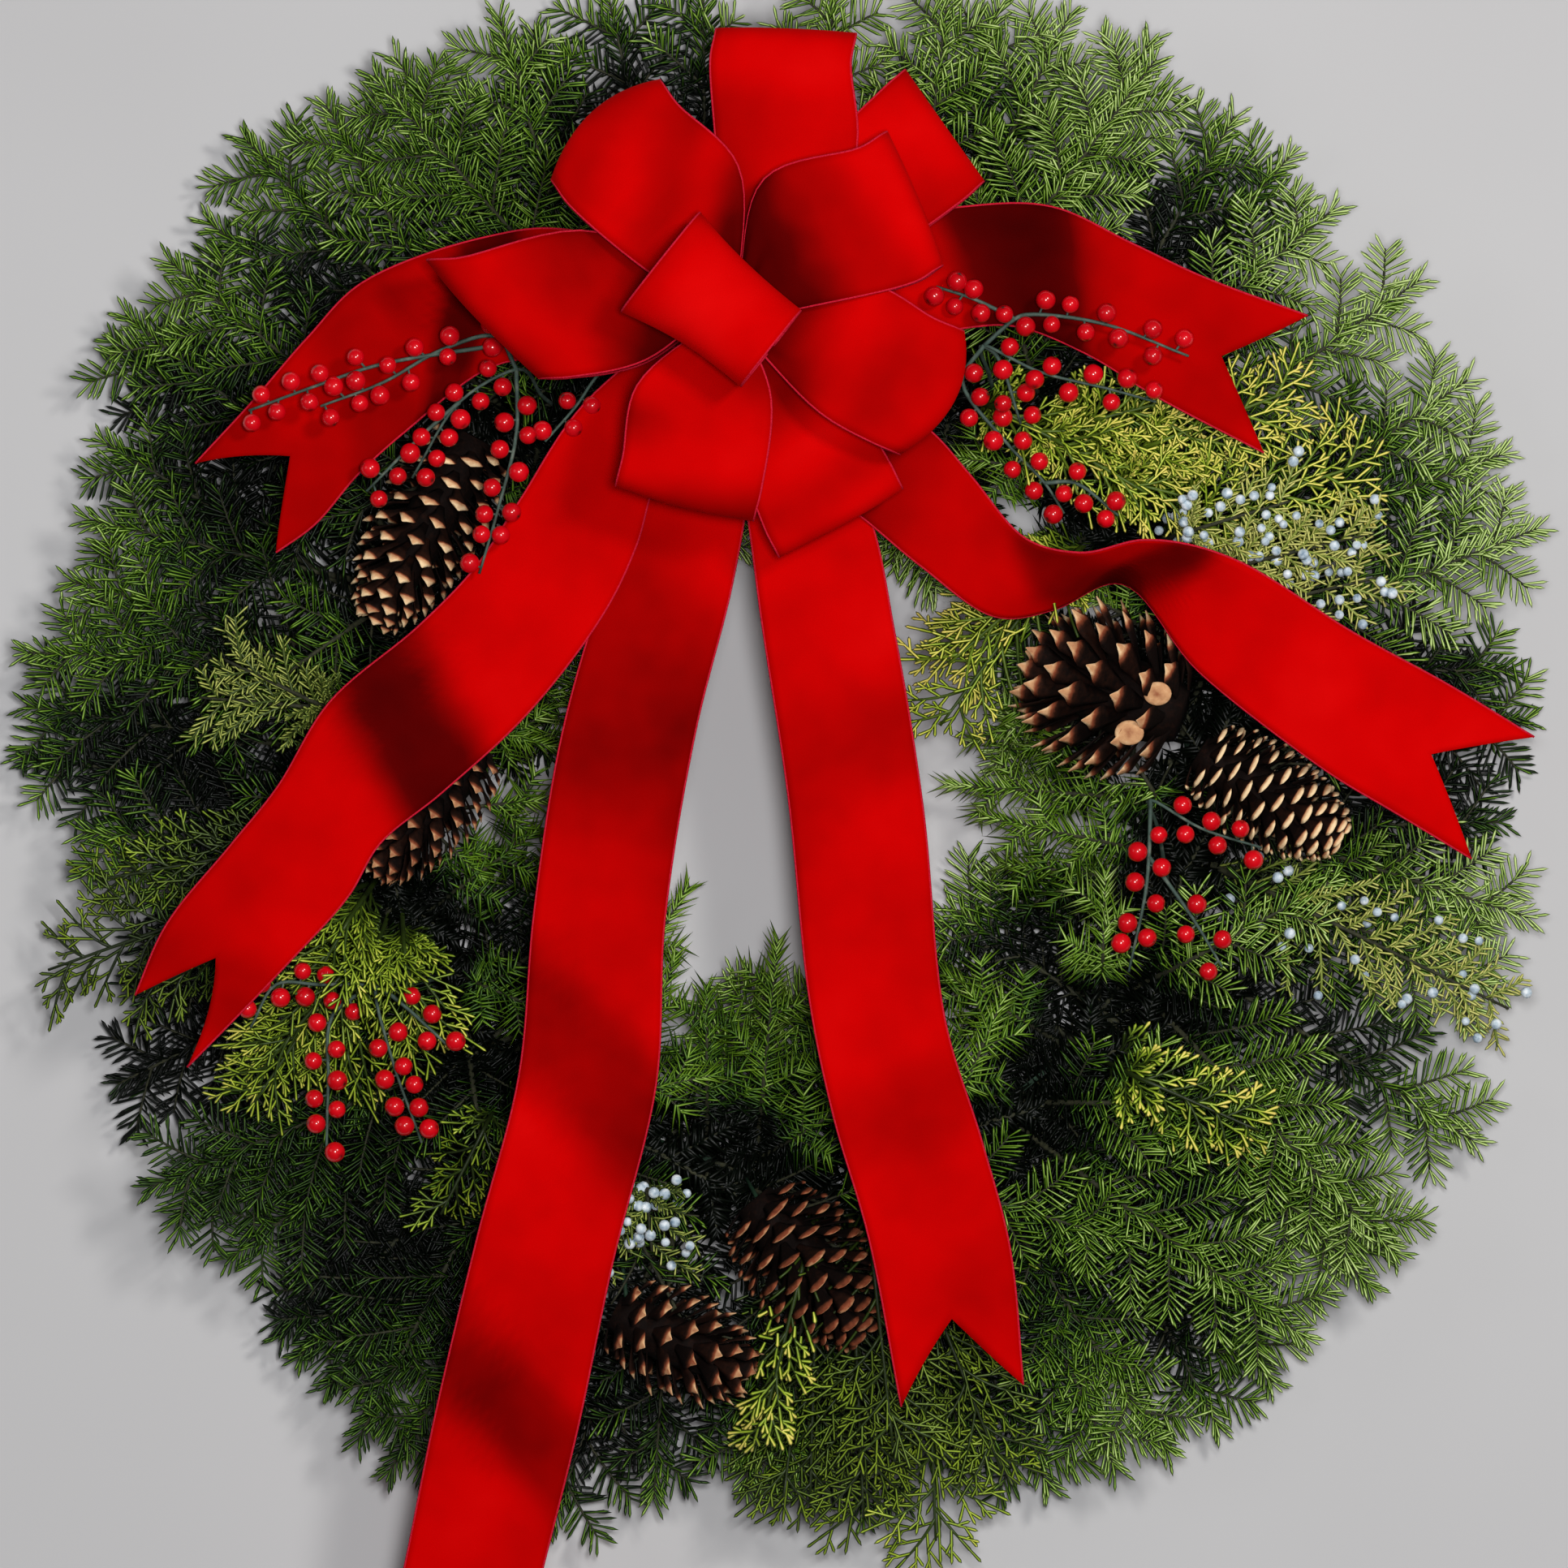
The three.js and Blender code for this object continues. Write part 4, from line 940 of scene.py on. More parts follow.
# The outline of a scale from the core to its tip: share of its length, width, thickness
# in scale pitches, and shade: near black toward the core, painted shade between the scales,
# and pale at the tip, the scale's own colour. Wedges are short pale arrowheads, crescents thin
# pale rims and points long open scales.
SCALE_STYLES = {
    "wedge": [
        (0.0, 0.3, 0.08, 0.0), (0.55, 0.62, 0.12, 0.02), (0.84, 1.1, 0.3, 0.12),
        (0.92, 0.96, 0.36, 0.66), (1.0, 0.5, 0.26, 0.9), (1.1, 0.1, 0.08, 1.0),
    ],
    "crescent": [
        (0.0, 0.3, 0.08, 0.0), (0.6, 0.8, 0.12, 0.0), (0.88, 1.32, 0.16, 0.06),
        (0.94, 1.36, 0.24, 0.66), (1.03, 1.12, 0.22, 0.95), (1.08, 0.6, 0.08, 1.0),
    ],
    "point": [
        (0.0, 0.3, 0.08, 0.0), (0.55, 0.85, 0.14, 0.04), (0.84, 1.2, 0.26, 0.06),
        (0.95, 0.95, 0.3, 0.42), (1.04, 0.5, 0.2, 0.95), (1.2, 0.06, 0.06, 0.95),
    ],
}
# How far in degrees the first scale leans to the tip of the cone and how much more the last one
# does, and where scales start, as a share of the girth.
OPEN_LEAN, SHUT_LEAN, SCALE_ROOT = 12, 50, 0.4
# The points round a scale's cross-section, as shares of half its width and half its thickness.
SCALE_SECTION = [(-1, 0), (-0.45, 0.75), (0.45, 0.75), (1, 0), (0.45, -0.75), (-0.45, -0.75)]


def cone_girth(share):
    return np.sin(np.pi * (0.2 + 0.74 * share)) ** 0.7


def build_cone(name, seed):
    base, tip, width, pitch, tan, style, wire_angle = CONES[name]
    base, tip = np.array(base, float), np.array(tip, float)
    axis = tip - base
    length = np.linalg.norm(axis)
    axis = axis / length
    sideways = unit(np.cross(axis, UP))
    upward = np.cross(sideways, axis)
    half = width / 2
    draw = Draw(seed)
    shape = Shape()
    shares = np.linspace(0, 1, 9)
    core = base + axis * (shares * length)[:, None]
    add_tube(shape, core, np.maximum(half * CORE_GIRTH * cone_girth(shares), THINNEST_CORE), 8, CORE_SHADE)
    count = int(math.pi * SCALES_COVER * length * width / pitch**2)
    for i in range(count):
        share = ((i + 0.5) / count) ** 0.93
        angle = GOLDEN_ANGLE * i
        out = sideways * math.cos(angle) + upward * math.sin(angle)
        root = base + axis * (share * length * LAST_SCALE)
        add_scale(shape, root, axis, out, half * cone_girth(share), share, pitch, tan, style, draw)
    seat = polar(wire_angle, RING_RADIUS, CONE_WIRE_SEAT_Z)
    add_tube(shape, np.array([seat, base + (tip - base) * 0.12]), CONE_WIRE_RADIUS, 6, UNREAD, 1)
    if name == "pine_cone_right_round":
        add_worn_plates(shape)
    shape.build(name + "_scales", [CONE, WIRE], "cones", [name])
    for i in range(CONE_BLOCKS):
        start, end = (base + axis * length * part / CONE_BLOCKS for part in (i, i + 0.7))
        block(start, end, CONE_CLEARANCE + half * cone_girth(i / CONE_BLOCKS))


def add_scale(shape, root, axis, out, girth, share, pitch, tan, style, draw):
    """One woody scale that leans to the cone's tip, with a pale end: its plate is painted dark as shade
    between the scales, and its underside darker still as painted shade.
    """
    lean = math.radians(OPEN_LEAN + SHUT_LEAN * share**1.5)
    heading = unit(out * math.cos(lean) + axis * math.sin(lean))
    across = unit(np.cross(axis, out))
    top = unit(np.cross(heading, across))
    if top @ axis < 0:
        top = -top
    inner = SCALE_ROOT * girth
    reach = (girth - inner) / max(math.cos(lean), 0.45) * draw.spread(0.93, 1.05)
    pitch = pitch * (1 - 0.3 * share) * draw.spread(0.92, 1.08)
    start = root + out * inner
    tilt = draw.spread(-0.12, 0.12)
    grid = []
    shades = []
    for along_share, wide, thick, shade in SCALE_STYLES[style]:
        middle = start + heading * reach * along_share + top * pitch * 0.16 * along_share**3
        for c, h in SCALE_SECTION:
            lift = pitch * thick * h / 2 + tilt * c * wide * pitch / 2
            grid.append(middle + across * c * wide * pitch / 2 + top * lift)
            # Painted shade on the scale's underside; the scale is also darker toward its sides.
            underside_shade = 0.25 * shade if h < 0 else 0
            shades.append(shade + tan * shade - 0.1 * abs(c) * shade - underside_shade)
    shades = np.array(shades) + draw.spread(-0.07, 0.07)
    sides = len(SCALE_SECTION)
    last = len(grid) - sides
    outward = quads_between(len(grid) // sides, sides)[:, [0, 3, 2, 1]]
    cap = np.array([[last, last + 5, last + 4, last + 3], [last + 3, last + 2, last + 1, last]])
    shape.add(np.array(grid), [outward, cap], shades)


def add_worn_plates(shape):
    """Two old scales at the round cone's base that have worn down to pale discs."""
    points, faces = BALL
    for x, y, z, radius in WORN_PLATES:
        disc = np.array([x, y, z]) + points * [radius, radius * 0.85, 2.2]
        shape.add(disc, [faces], 0.72 - 0.2 * points[:, 2] ** 8)


# Berries

BERRY_RADIUS = 4.5
BERRY_SPACING = 7.0
BERRY_CLEARANCE = 4.2
STALK_RADIUS = 0.55
# How far along a spray's main twig, which climbs from the ring, and along the others the first
# berry sits.
FIRST_BERRY_ON_MAIN, FIRST_BERRY = 110, 14
# Each spray's seed and the points of its twigs, the main one first.
BERRY_SPRAYS = {
    "berry_spray_upper_left": (
        3,
        [
            [[-101, 161, 5], [-112, 168, 60], [-123, 179, 103], [-149, 164, 104], [-171, 129, 102]],
            [[-123, 179, 103], [-132, 194, 103], [-157, 188, 104], [-184, 173, 104], [-213, 162, 103]],
            [[-132, 190, 103], [-186, 181, 105], [-213, 172, 105], [-246, 160, 102]],
            [[-149, 164, 104], [-166, 149, 104], [-192, 123, 100]],
            [[-123, 179, 103], [-123, 149, 106], [-131, 116, 105], [-140, 85, 104]],
        ],
    ),
    "berry_spray_inner_left": (
        5,
        [[[-55, 182, 5], [-64, 178, 60], [-84, 178, 92], [-96, 162, 93], [-110, 146, 96]]],
    ),
    "berry_spray_upper_right": (
        9,
        [
            [[101, 161, 5], [95, 178, 60], [92, 190, 101], [117, 178, 103], [149, 170, 104], [171, 164, 103]],
            [[92, 190, 101], [106, 202, 103], [111, 204, 104], [146, 200, 105], [186, 185, 103]],
            [[106, 202, 103], [88, 211, 103], [70, 217, 102]],
            [[92, 190, 101], [98, 185, 100], [109, 154, 96]],
            [[92, 190, 101], [82, 174, 96], [102, 146, 92], [120, 127, 92], [129, 113, 90]],
            [[120, 127, 92], [134, 127, 92], [154, 112, 92]],
        ],
    ),
    "berry_spray_lower_right": (
        12,
        [
            [[180, -62, 5], [173, -32, 62], [169, -19, 88], [192, -32, 92], [220, -41, 91]],
            [[169, -19, 88], [167, -58, 90], [159, -98, 84]],
            [[168, -45, 90], [188, -73, 88], [202, -96, 84]],
        ],
    ),
    "berry_spray_lower_left": (
        17,
        [
            [[-160, -102, 5], [-172, -104, 60], [-188, -104, 84], [-181, -137, 88], [-167, -177, 84]],
            [[-188, -104, 84], [-176, -113, 86], [-152, -135, 84]],
            [[-188, -104, 84], [-208, -118, 86], [-210, -150, 87], [-211, -183, 84]],
            [[-188, -104, 84], [-215, -104, 86], [-234, -104, 86], [-246, -124, 82]],
        ],
    ),
}


def build_berries(name):
    seed, twigs = BERRY_SPRAYS[name]
    draw = Draw(seed)
    shape = Shape()
    for index, points in enumerate(twigs):
        path = curve(points, 6)
        shares, length = arc_shares(path)
        add_tube(shape, path, 1.1 - 0.5 * shares, 6, UNREAD, 1)
        side = 1
        at = FIRST_BERRY if index else FIRST_BERRY_ON_MAIN
        while at < length - 1:
            (root,), (heading,) = along(path, [at / length])
            at += BERRY_SPACING * draw.spread(0.6, 1.5)
            side = -side
            sideways = unit(np.cross(heading, UP)) * side
            reach = draw.spread(4.0, 6.8)
            centre = root + sideways * reach + heading * draw.spread(-1, 3) + UP * draw.spread(0.5, 4.5)
            radius = BERRY_RADIUS * draw.spread(0.9, 1.06)
            if clear_of_blocks(centre[None])[0]:
                block(centre, centre, radius + BERRY_CLEARANCE)
                add_berry(shape, centre, root, radius, draw)
    shape.build(name + "_berries", [BERRY, WRAPPED], "berries", [name])


def add_berry(shape, centre, root, radius, draw):
    """A round berry on its stalk, with the small dark scar of its flower at the far end and painted shade on
    its lower side.
    """
    points, faces = BALL
    far = unit(centre - root)
    toward = points @ far
    scar = np.clip((toward - 0.93) / 0.07, 0, 1) * 0.7
    # Painted shade darkens the lower part of each berry.
    shades = draw.spread(0.55, 0.8) - scar - 0.4 * np.clip(0.3 - points[:, 2], 0, 1)
    shape.add(centre + points * radius * (1 - 0.06 * np.clip(toward - 0.9, 0, 1)[:, None]), [faces], shades)
    add_tube(shape, np.array([root, centre - far * radius * 0.8]), STALK_RADIUS, 5, UNREAD, 1)


# Greenery

STEM_SEAT_Z = 6.2
STEM_TAIL = 13
TWIG_SHARES = np.linspace(0, 1, 6)
LOWEST_TWIG_Z = 3
LOWEST_LEAF_TIP_Z = LOWEST_Z + 0.6
# The height of the greenery's crown, its distance from the middle and how fast the crown falls
# to both sides of it.
CROWN_Z, CROWN_RADIUS, FALL_INWARD, FALL_OUTWARD = 58, 220, 0.003, 0.0018


def spray_of(seed, root, tip, reach, level, droop, **form):
    """A spray's seed, the angles of its root on the ring and of its tip, how far its tip reaches
    from the middle, how high it lies and how far its tip hangs below that."""
    return dict(seed=seed, root=root, tip=tip, reach=reach, level=level, droop=droop, **form)


def stem_path(spray):
    """A stem from the ring up to its level and out to its tip, below the ribbons."""
    reach, level = spray["reach"], spray["level"]
    tip = polar(spray["tip"], reach, level - spray["droop"])
    seat = polar(spray["root"], RING_RADIUS, STEM_SEAT_Z)
    flat = unit((tip - seat) * [1, 1, 0])
    span = math.hypot(*(tip - seat)[:2])
    back = STEM_TAIL if reach > RING_RADIUS or span > 2 * STEM_TAIL else STEM_TAIL / 2
    points = [
        seat - flat * back,
        seat + flat * 8,
        [*(seat + flat * (12 + 0.24 * span))[:2], level],
        [*(seat + (tip - seat) * 0.62)[:2], level],
        tip,
    ]
    return under_ribbon(curve(points, 6))


def side_light(point):
    """Painted light: the greenery is painted lighter toward the upper right and darker toward the lower left,
    as lit from the right.
    """
    x, y = point[0] / 300, point[1] / 300
    return 0.15 * x + 0.07 * y - 0.09 * abs(y) - 0.2 * max(-x, 0) * max(-y, 0) - 0.055


def crown(points):
    """How high the greenery stands here: highest round the middle of the ring."""
    radii = np.hypot(points[:, 0], points[:, 1])
    fall = np.where(radii < CROWN_RADIUS, FALL_INWARD, FALL_OUTWARD)
    return CROWN_Z - fall * (radii - CROWN_RADIUS) ** 2


def deep_shade(points):
    """Painted shade: leaves deep below the wreath's crown are painted darker, where light fades among the
    layers.
    """
    return 1.3 * np.clip((points[:, 2] + 7 - crown(points)) / 30, -1, 0.15)


# How much lighter a spray's outer twigs are than its inner ones: partly young growth and partly
# painted shade on the inner twigs, which lie under the next spray.
YOUNG_TIPS_AND_ROOT_SHADE = 0.28
NEEDLE_STEP = 2.5
NEEDLE_WIDTH = 1.55
NEEDLE_LENGTH = 15.0
# Needles to the sides of a twig and above it: their share of the full number and length, and
# how far in degrees they rise. All slant off the twig, less so toward its tip.
FLAT_ROW = dict(density=1, length=1, rise=(-12, 24))
UPPER_ROW = dict(density=0.5, length=0.8, rise=(32, 74))
NEEDLE_SLANT, CLOSING = (56, 74), 34
# How far the last needles reach past a twig.
LAST_NEEDLES = 4
# Fir twigs: how far in degrees they turn from the stem, how far they rise and how they bend.
FIR_TURNS, FIR_RISES, FIR_SWEEPS = (42, 54), (-6, 8), (0.02, 0.14)
FIR_SHADE, FIR_TIP_TINT, SHORTEST_NEEDLE = 0.17, 0.3, 4
# The outlines of leaves from root to tip: share of the length, share of the width.
NEEDLE_PROFILE = [(0.0, 0.6), (0.78, 1.0), (1.0, 0.0)]
SPIKE_PROFILE = [(0.0, 1.2), (1.0, 0.0)]
DEEP_PROFILE = [(0.0, 2.0), (1.0, 0.0)]
SCALE_PROFILE = [(0.0, 0.8), (0.45, 1.05), (0.5, 0.75), (0.9, 0.95), (1.0, 0.0)]
TIP_PROFILE = [(0.0, 0.7), (0.8, 1.0), (1.0, 0.0)]


class Leaves:
    """Gathers slim leaves and adds those to a shape that keep clear of cones, berries and ribbon."""

    def __init__(self):
        self.kept = []

    def gather(self, roots, tips, ups, widths, tints, bends):
        count = len(roots)
        columns = [roots, tips, np.broadcast_to(ups, roots.shape)]
        columns += [np.broadcast_to(value, (count,))[:, None] for value in (widths, tints, bends)]
        self.kept.append(np.concatenate(columns, axis=1))

    def add_to(self, shape, profile, tip_tint, shortest):
        rows = np.concatenate(self.kept)
        roots, tips = under_ribbon(rows[:, :3]), under_ribbon(rows[:, 3:6])
        tips[:, 2] = np.maximum(tips[:, 2], LOWEST_LEAF_TIP_Z)
        lengths = np.linalg.norm(tips - roots, axis=1)
        kept = clear_of_blocks(tips) & clear_of_blocks(roots) & (lengths > shortest)
        roots, tips, lengths, rows = roots[kept], tips[kept], lengths[kept], rows[kept]
        ups, widths, tints, bends = rows[:, 6:9], rows[:, 9], rows[:, 10], rows[:, 11]
        add_blades(shape, roots, unit(tips - roots), ups, lengths, widths, profile, tints, tip_tint, bends)


def needle_twig(leaves, path, draw, shade):
    """A twig clad in flat blunt needles to its sides and above it."""
    _, length = arc_shares(path)
    per_side = max(3, int(length / NEEDLE_STEP))
    for side, row in ((-1, FLAT_ROW), (1, FLAT_ROW), (-1, UPPER_ROW), (1, UPPER_ROW)):
        count = max(2, int(per_side * row["density"]))
        at = np.clip((np.arange(count) + draw.many(count, 0.1, 0.9)) / count, 0.02, 0.995)
        roots, headings = along(path, at)
        sideways = unit(np.cross(headings, UP)) * side
        upward = unit(np.cross(np.cross(headings, UP), headings))
        rise = np.radians(draw.many(count, *row["rise"]))
        slant = np.radians(draw.many(count, *NEEDLE_SLANT) - CLOSING * at**3)
        out = sideways * np.cos(rise)[:, None] + upward * np.sin(rise)[:, None]
        point = unit(headings * np.cos(slant)[:, None] + out * np.sin(slant)[:, None])
        lengths = NEEDLE_LENGTH * row["length"] * (0.75 + 0.25 * np.sin(np.pi * np.clip(at * 1.1, 0, 1)))
        lengths = lengths * draw.many(count, 0.88, 1.1)
        tips = roots + point * lengths[:, None]
        tints = shade + draw.many(count, -0.14, 0.14) + 0.12 * at**2 + deep_shade(tips)
        ups = unit(UP + headings * 0.35)
        leaves.gather(roots, tips, ups, NEEDLE_WIDTH, tints, draw.many(count, -0.04, 0.1))


def twig_path(start, heading, reach, rise, sweep):
    """A slightly bent twig."""
    sideways = unit(np.cross(heading, UP))
    shares = TWIG_SHARES[:, None]
    path = start + heading * reach * shares + sideways * sweep * reach * shares**2 + UP * rise * shares
    path = under_ribbon(path)
    path[:, 2] = np.maximum(path[:, 2], LOWEST_TWIG_Z)
    return path


def side_twigs(stem, draw, first, apart, places, turns, breadth, narrowing, reaches, rises, sweeps):
    """Twigs that leave a stem to its sides in turn, shorter toward its tip. Each comes with its
    share of the stem's length."""
    _, length = arc_shares(stem)
    count = int(length * (1 - first) / apart)
    for i in range(count):
        side = -1 if i % 2 else 1
        share = first + (0.97 - first) * (i + draw.spread(*places)) / count
        (start,), (heading,) = along(stem, [share])
        heading = turned(unit(heading * [1, 1, 0.5]), side * draw.spread(*turns))
        reach = breadth * (1 - narrowing * i / count) * draw.spread(*reaches)
        rise = draw.spread(*rises)
        yield share, twig_path(start, heading, reach, rise, -side * draw.spread(*sweeps))


def forks_along(path, draw, apart, fewest):
    """Where leaves leave a twig, as shares of its length, with their points and headings there
    and the side of each."""
    _, length = arc_shares(path)
    count = max(fewest, int(length / apart))
    at = (np.arange(count) + draw.many(count, 0.2, 0.8)) / count
    roots, ways = along(path, np.clip(at, 0.06, 0.98))
    return at, roots, ways, np.where(np.arange(count) % 2, 1, -1)


def fir_spray(shape, spray, breadth=60, pairs=7, start_at=24, profile=NEEDLE_PROFILE):
    draw = Draw(spray["seed"] + SPRAY_SEED)
    stem = stem_path(spray)
    shares, length = arc_shares(stem)
    shade = FIR_SHADE + side_light(stem[-1]) + draw.spread(-0.14, 0.13) + spray.get("shade", 0)
    add_tube(shape, stem, 1.9 - 1.3 * shares, 5, UNREAD, 1)
    first = min(0.42, start_at / length)
    leaves = Leaves()
    needle_twig(leaves, stem[shares >= first], draw, shade + YOUNG_TIPS_AND_ROOT_SHADE * 0.15)
    for pair in range(pairs):
        for side in (-1, 1):
            share = first + (0.95 - first) * (pair + 0.35 + 0.16 * side) / pairs
            (start,), (heading,) = along(stem, [share])
            heading = turned(unit(heading * [1, 1, 0.4]), side * draw.spread(*FIR_TURNS))
            taper = min(1, 0.62 + 0.38 * pair) - 0.62 * pair / pairs
            reach = breadth * taper * draw.spread(0.85, 1.12)
            rise = draw.spread(*FIR_RISES)
            path = twig_path(start, heading, reach, rise, -side * draw.spread(*FIR_SWEEPS))
            add_tube(shape, path, 0.8 - 0.3 * TWIG_SHARES, 4, UNREAD, 1)
            needle_twig(leaves, path, draw, shade + YOUNG_TIPS_AND_ROOT_SHADE * (share - 0.6) + draw.spread(-0.05, 0.05))
    leaves.add_to(shape, profile, FIR_TIP_TINT, SHORTEST_NEEDLE)


# Where the side tips leave a string of scale leaves, and to which side.
FORKS = [(0.36, 1), (0.6, -1)]
# How far a cedar's twigs reach and turn from its stem, the length and width of its strings of
# scales, how golden their tips are, and how light it is.
CEDAR_FORM = dict(breadth=48, turn=36, fine=17, width=1.7, golden=0.4, base=0.3)


def cedar_spray(shape, spray):
    """Flat sprays of forked strings of scale leaves, golden at their tips."""
    draw = Draw(spray["seed"] + SPRAY_SEED)
    breadth, turn, fine, width, golden, base = (spray.get(key, value) for key, value in CEDAR_FORM.items())
    stem = stem_path(spray)
    shares, length = arc_shares(stem)
    shade = base + side_light(stem[-1])
    add_tube(shape, stem, 1.8 - 1.1 * shares, 5, shade - 0.1)
    strings = Leaves()
    tips = Leaves()
    first = min(0.35, 34 / length)
    twigs = dict(apart=7.5, places=(0.2, 0.8), turns=(turn - 9, turn + 9), breadth=breadth, narrowing=0.62)
    twigs.update(reaches=(0.75, 1.2), rises=(-9, 3), sweeps=(0.05, 0.3))
    for share, path in side_twigs(stem, draw, first, **twigs):
        add_tube(shape, path, 0.85 - 0.25 * TWIG_SHARES, 4, shade + draw.spread(-0.05, 0.1))
        at, roots, ways, sides = forks_along(path, draw, apart=4.6, fewest=4)
        forks = len(at)
        ways = turned(ways, draw.many(forks, 24, 44) * sides)
        ways = unit(ways + UP * draw.many(forks, -0.22, 0.12)[:, None])
        lengths = fine * (1.15 - 0.55 * at) * draw.many(forks, 0.7, 1.25)
        # Painted shade: twigs near the stem are darker where other sprays cover them, and deep leaves darker
        # still.
        tints = shade + draw.many(forks, -0.14, 0.1) + 0.15 * at + 0.35 * (share - 0.75) + 0.4 * deep_shade(roots)
        ends = roots + ways * lengths[:, None]
        strings.gather(roots, ends, UP, width, tints, draw.many(forks, -0.16, 0.05))
        for part, hand in FORKS:
            starts = roots + ways * (lengths * part)[:, None]
            leaving = turned(ways, draw.many(forks, 24, 42) * sides * hand)
            reaches = (lengths * draw.many(forks, 0.36, 0.55))[:, None]
            tips.gather(starts, starts + leaving * reaches, UP, width, tints + golden * part**2, -0.05)
        ends, ways = along(path, [1.0])
        strings.gather(ends, ends + ways * fine * 0.7, UP, width, shade + 0.1, 0.0)
    strings.add_to(shape, SCALE_PROFILE, golden, 3)
    tips.add_to(shape, TIP_PROFILE, golden * 0.5, 2)


def juniper_spray(shape, spray):
    """Sprays of short spread leaves, with round berries among them."""
    draw = Draw(spray["seed"] + SPRAY_SEED)
    stem = stem_path(spray)
    shares, length = arc_shares(stem)
    shade = 0.5 + 1.6 * side_light(stem[-1])
    add_tube(shape, stem, 1.8 - 1.1 * shares, 5, UNREAD, 1)
    leaves = Leaves()
    first = min(0.3, 30 / length)
    twigs = dict(apart=5.2, places=(0, 1), turns=(24, 58), breadth=44, narrowing=0.55)
    twigs.update(reaches=(0.6, 1.2), rises=(-12, 16), sweeps=(0, 0.2))
    for share, path in side_twigs(stem, draw, first, **twigs):
        add_tube(shape, path, 0.7, 4, shade)
        at, roots, ways, sides = forks_along(path, draw, apart=1.5, fewest=6)
        forks = len(at)
        ways = turned(ways, draw.many(forks, 16, 62) * sides)
        ways = unit(ways + UP * draw.many(forks, -0.35, 0.6)[:, None])
        lengths = draw.many(forks, 4, 9)
        # Painted shade: twigs near the stem are darker where other sprays cover them, and deep leaves darker
        # still.
        tints = shade + draw.many(forks, -0.12, 0.12) + 0.5 * (share - 0.75) + deep_shade(roots)
        leaves.gather(roots, roots + ways * lengths[:, None], UP, 1.3, tints, draw.many(forks, -0.16, 0.05))
        for _ in range(spray["berries"]):
            (root,), _ = along(path, [draw.spread(0.35, 0.95)])
            centre = root + [draw.spread(-7, 7), draw.spread(-7, 7), draw.spread(3, 8)]
            points, faces = SMALL_BALL
            if under_ribbon(centre[None])[0, 2] == centre[2] and clear_of_blocks(centre[None])[0]:
                shape.add(centre + points * draw.spread(2.0, 2.8), [faces], UNREAD, 2)
    leaves.add_to(shape, TIP_PROFILE, 0.25, 2)


# The angle and distance of the tips of the outer fir sprays, of the sprays between them and of
# the short ones that fill out the rim.
OUTER_TIPS = [
    (3, 352), (23, 368), (50, 372), (74, 370), (103, 370), (131, 388), (148, 374),
    (176, 358), (206, 350), (231, 364), (253, 378), (290, 366), (303, 376), (331, 372),
]
FILLER_TIPS = [
    (17, 370), (37, 374), (63, 379), (86, 368), (111, 374), (141, 372), (166, 346),
    (186, 332), (217, 356), (241, 383), (267, 344), (295, 369), (318, 371), (342, 356),
]
RIM_TIPS = [
    (7, 346), (29, 368), (45, 366), (55, 370), (69, 376), (78, 374), (96, 366), (119, 378),
    (125, 376), (137, 372), (155, 354), (172, 360), (180, 358), (199, 326), (222, 352), (229, 362),
    (234, 366), (238, 378), (248, 366), (260, 354), (270, 342), (276, 360), (284, 350), (299, 373),
    (308, 374), (321, 366), (348, 358), (355, 340), (146, 374), (161, 346), (109, 364),
]
# The root, tip and reach of the fir sprays that lie over the others, and of short ones that
# lean into the open middle.
UPPER_SPRAYS = [(70.5, 62, 372), (110.5, 121, 374), (224.5, 214, 360), (301, 312, 366), (327.5, 321, 370)]
INNER_EXTRAS = [
    (12, 5, 86), (354, 351, 76), (346, 344, 96), (336, 332, 124), (172, 177, 108), (188, 190, 104),
    (237, 233, 74), (246, 241, 104), (266, 268, 84), (281, 277, 104), (300, 297, 108),
]
CEDAR_SPRAYS = [
    spray_of(91, 192.9, 196, 356, 44, 12, golden=0.3),
    spray_of(92, 199, 213, 292, 70, 6, breadth=38, base=0.54),
    spray_of(93, 38.6, 12, 74, 60, 4, base=0.34, golden=0.4),
    spray_of(94, 44.6, 32, 226, 74, 4, base=0.42),
    spray_of(95, 32.5, 27, 300, 66, 8, base=0.4),
    spray_of(96, 315, 322, 280, 64, 2, breadth=32, base=0.14, golden=0.95, width=2.1),
    spray_of(97, 289.5, 281, 370, 48, 10, base=0.42, golden=0.2, fine=22),
    spray_of(98, 275.5, 270, 342, 28, -24, base=0.22, golden=0.2, fine=20),
]
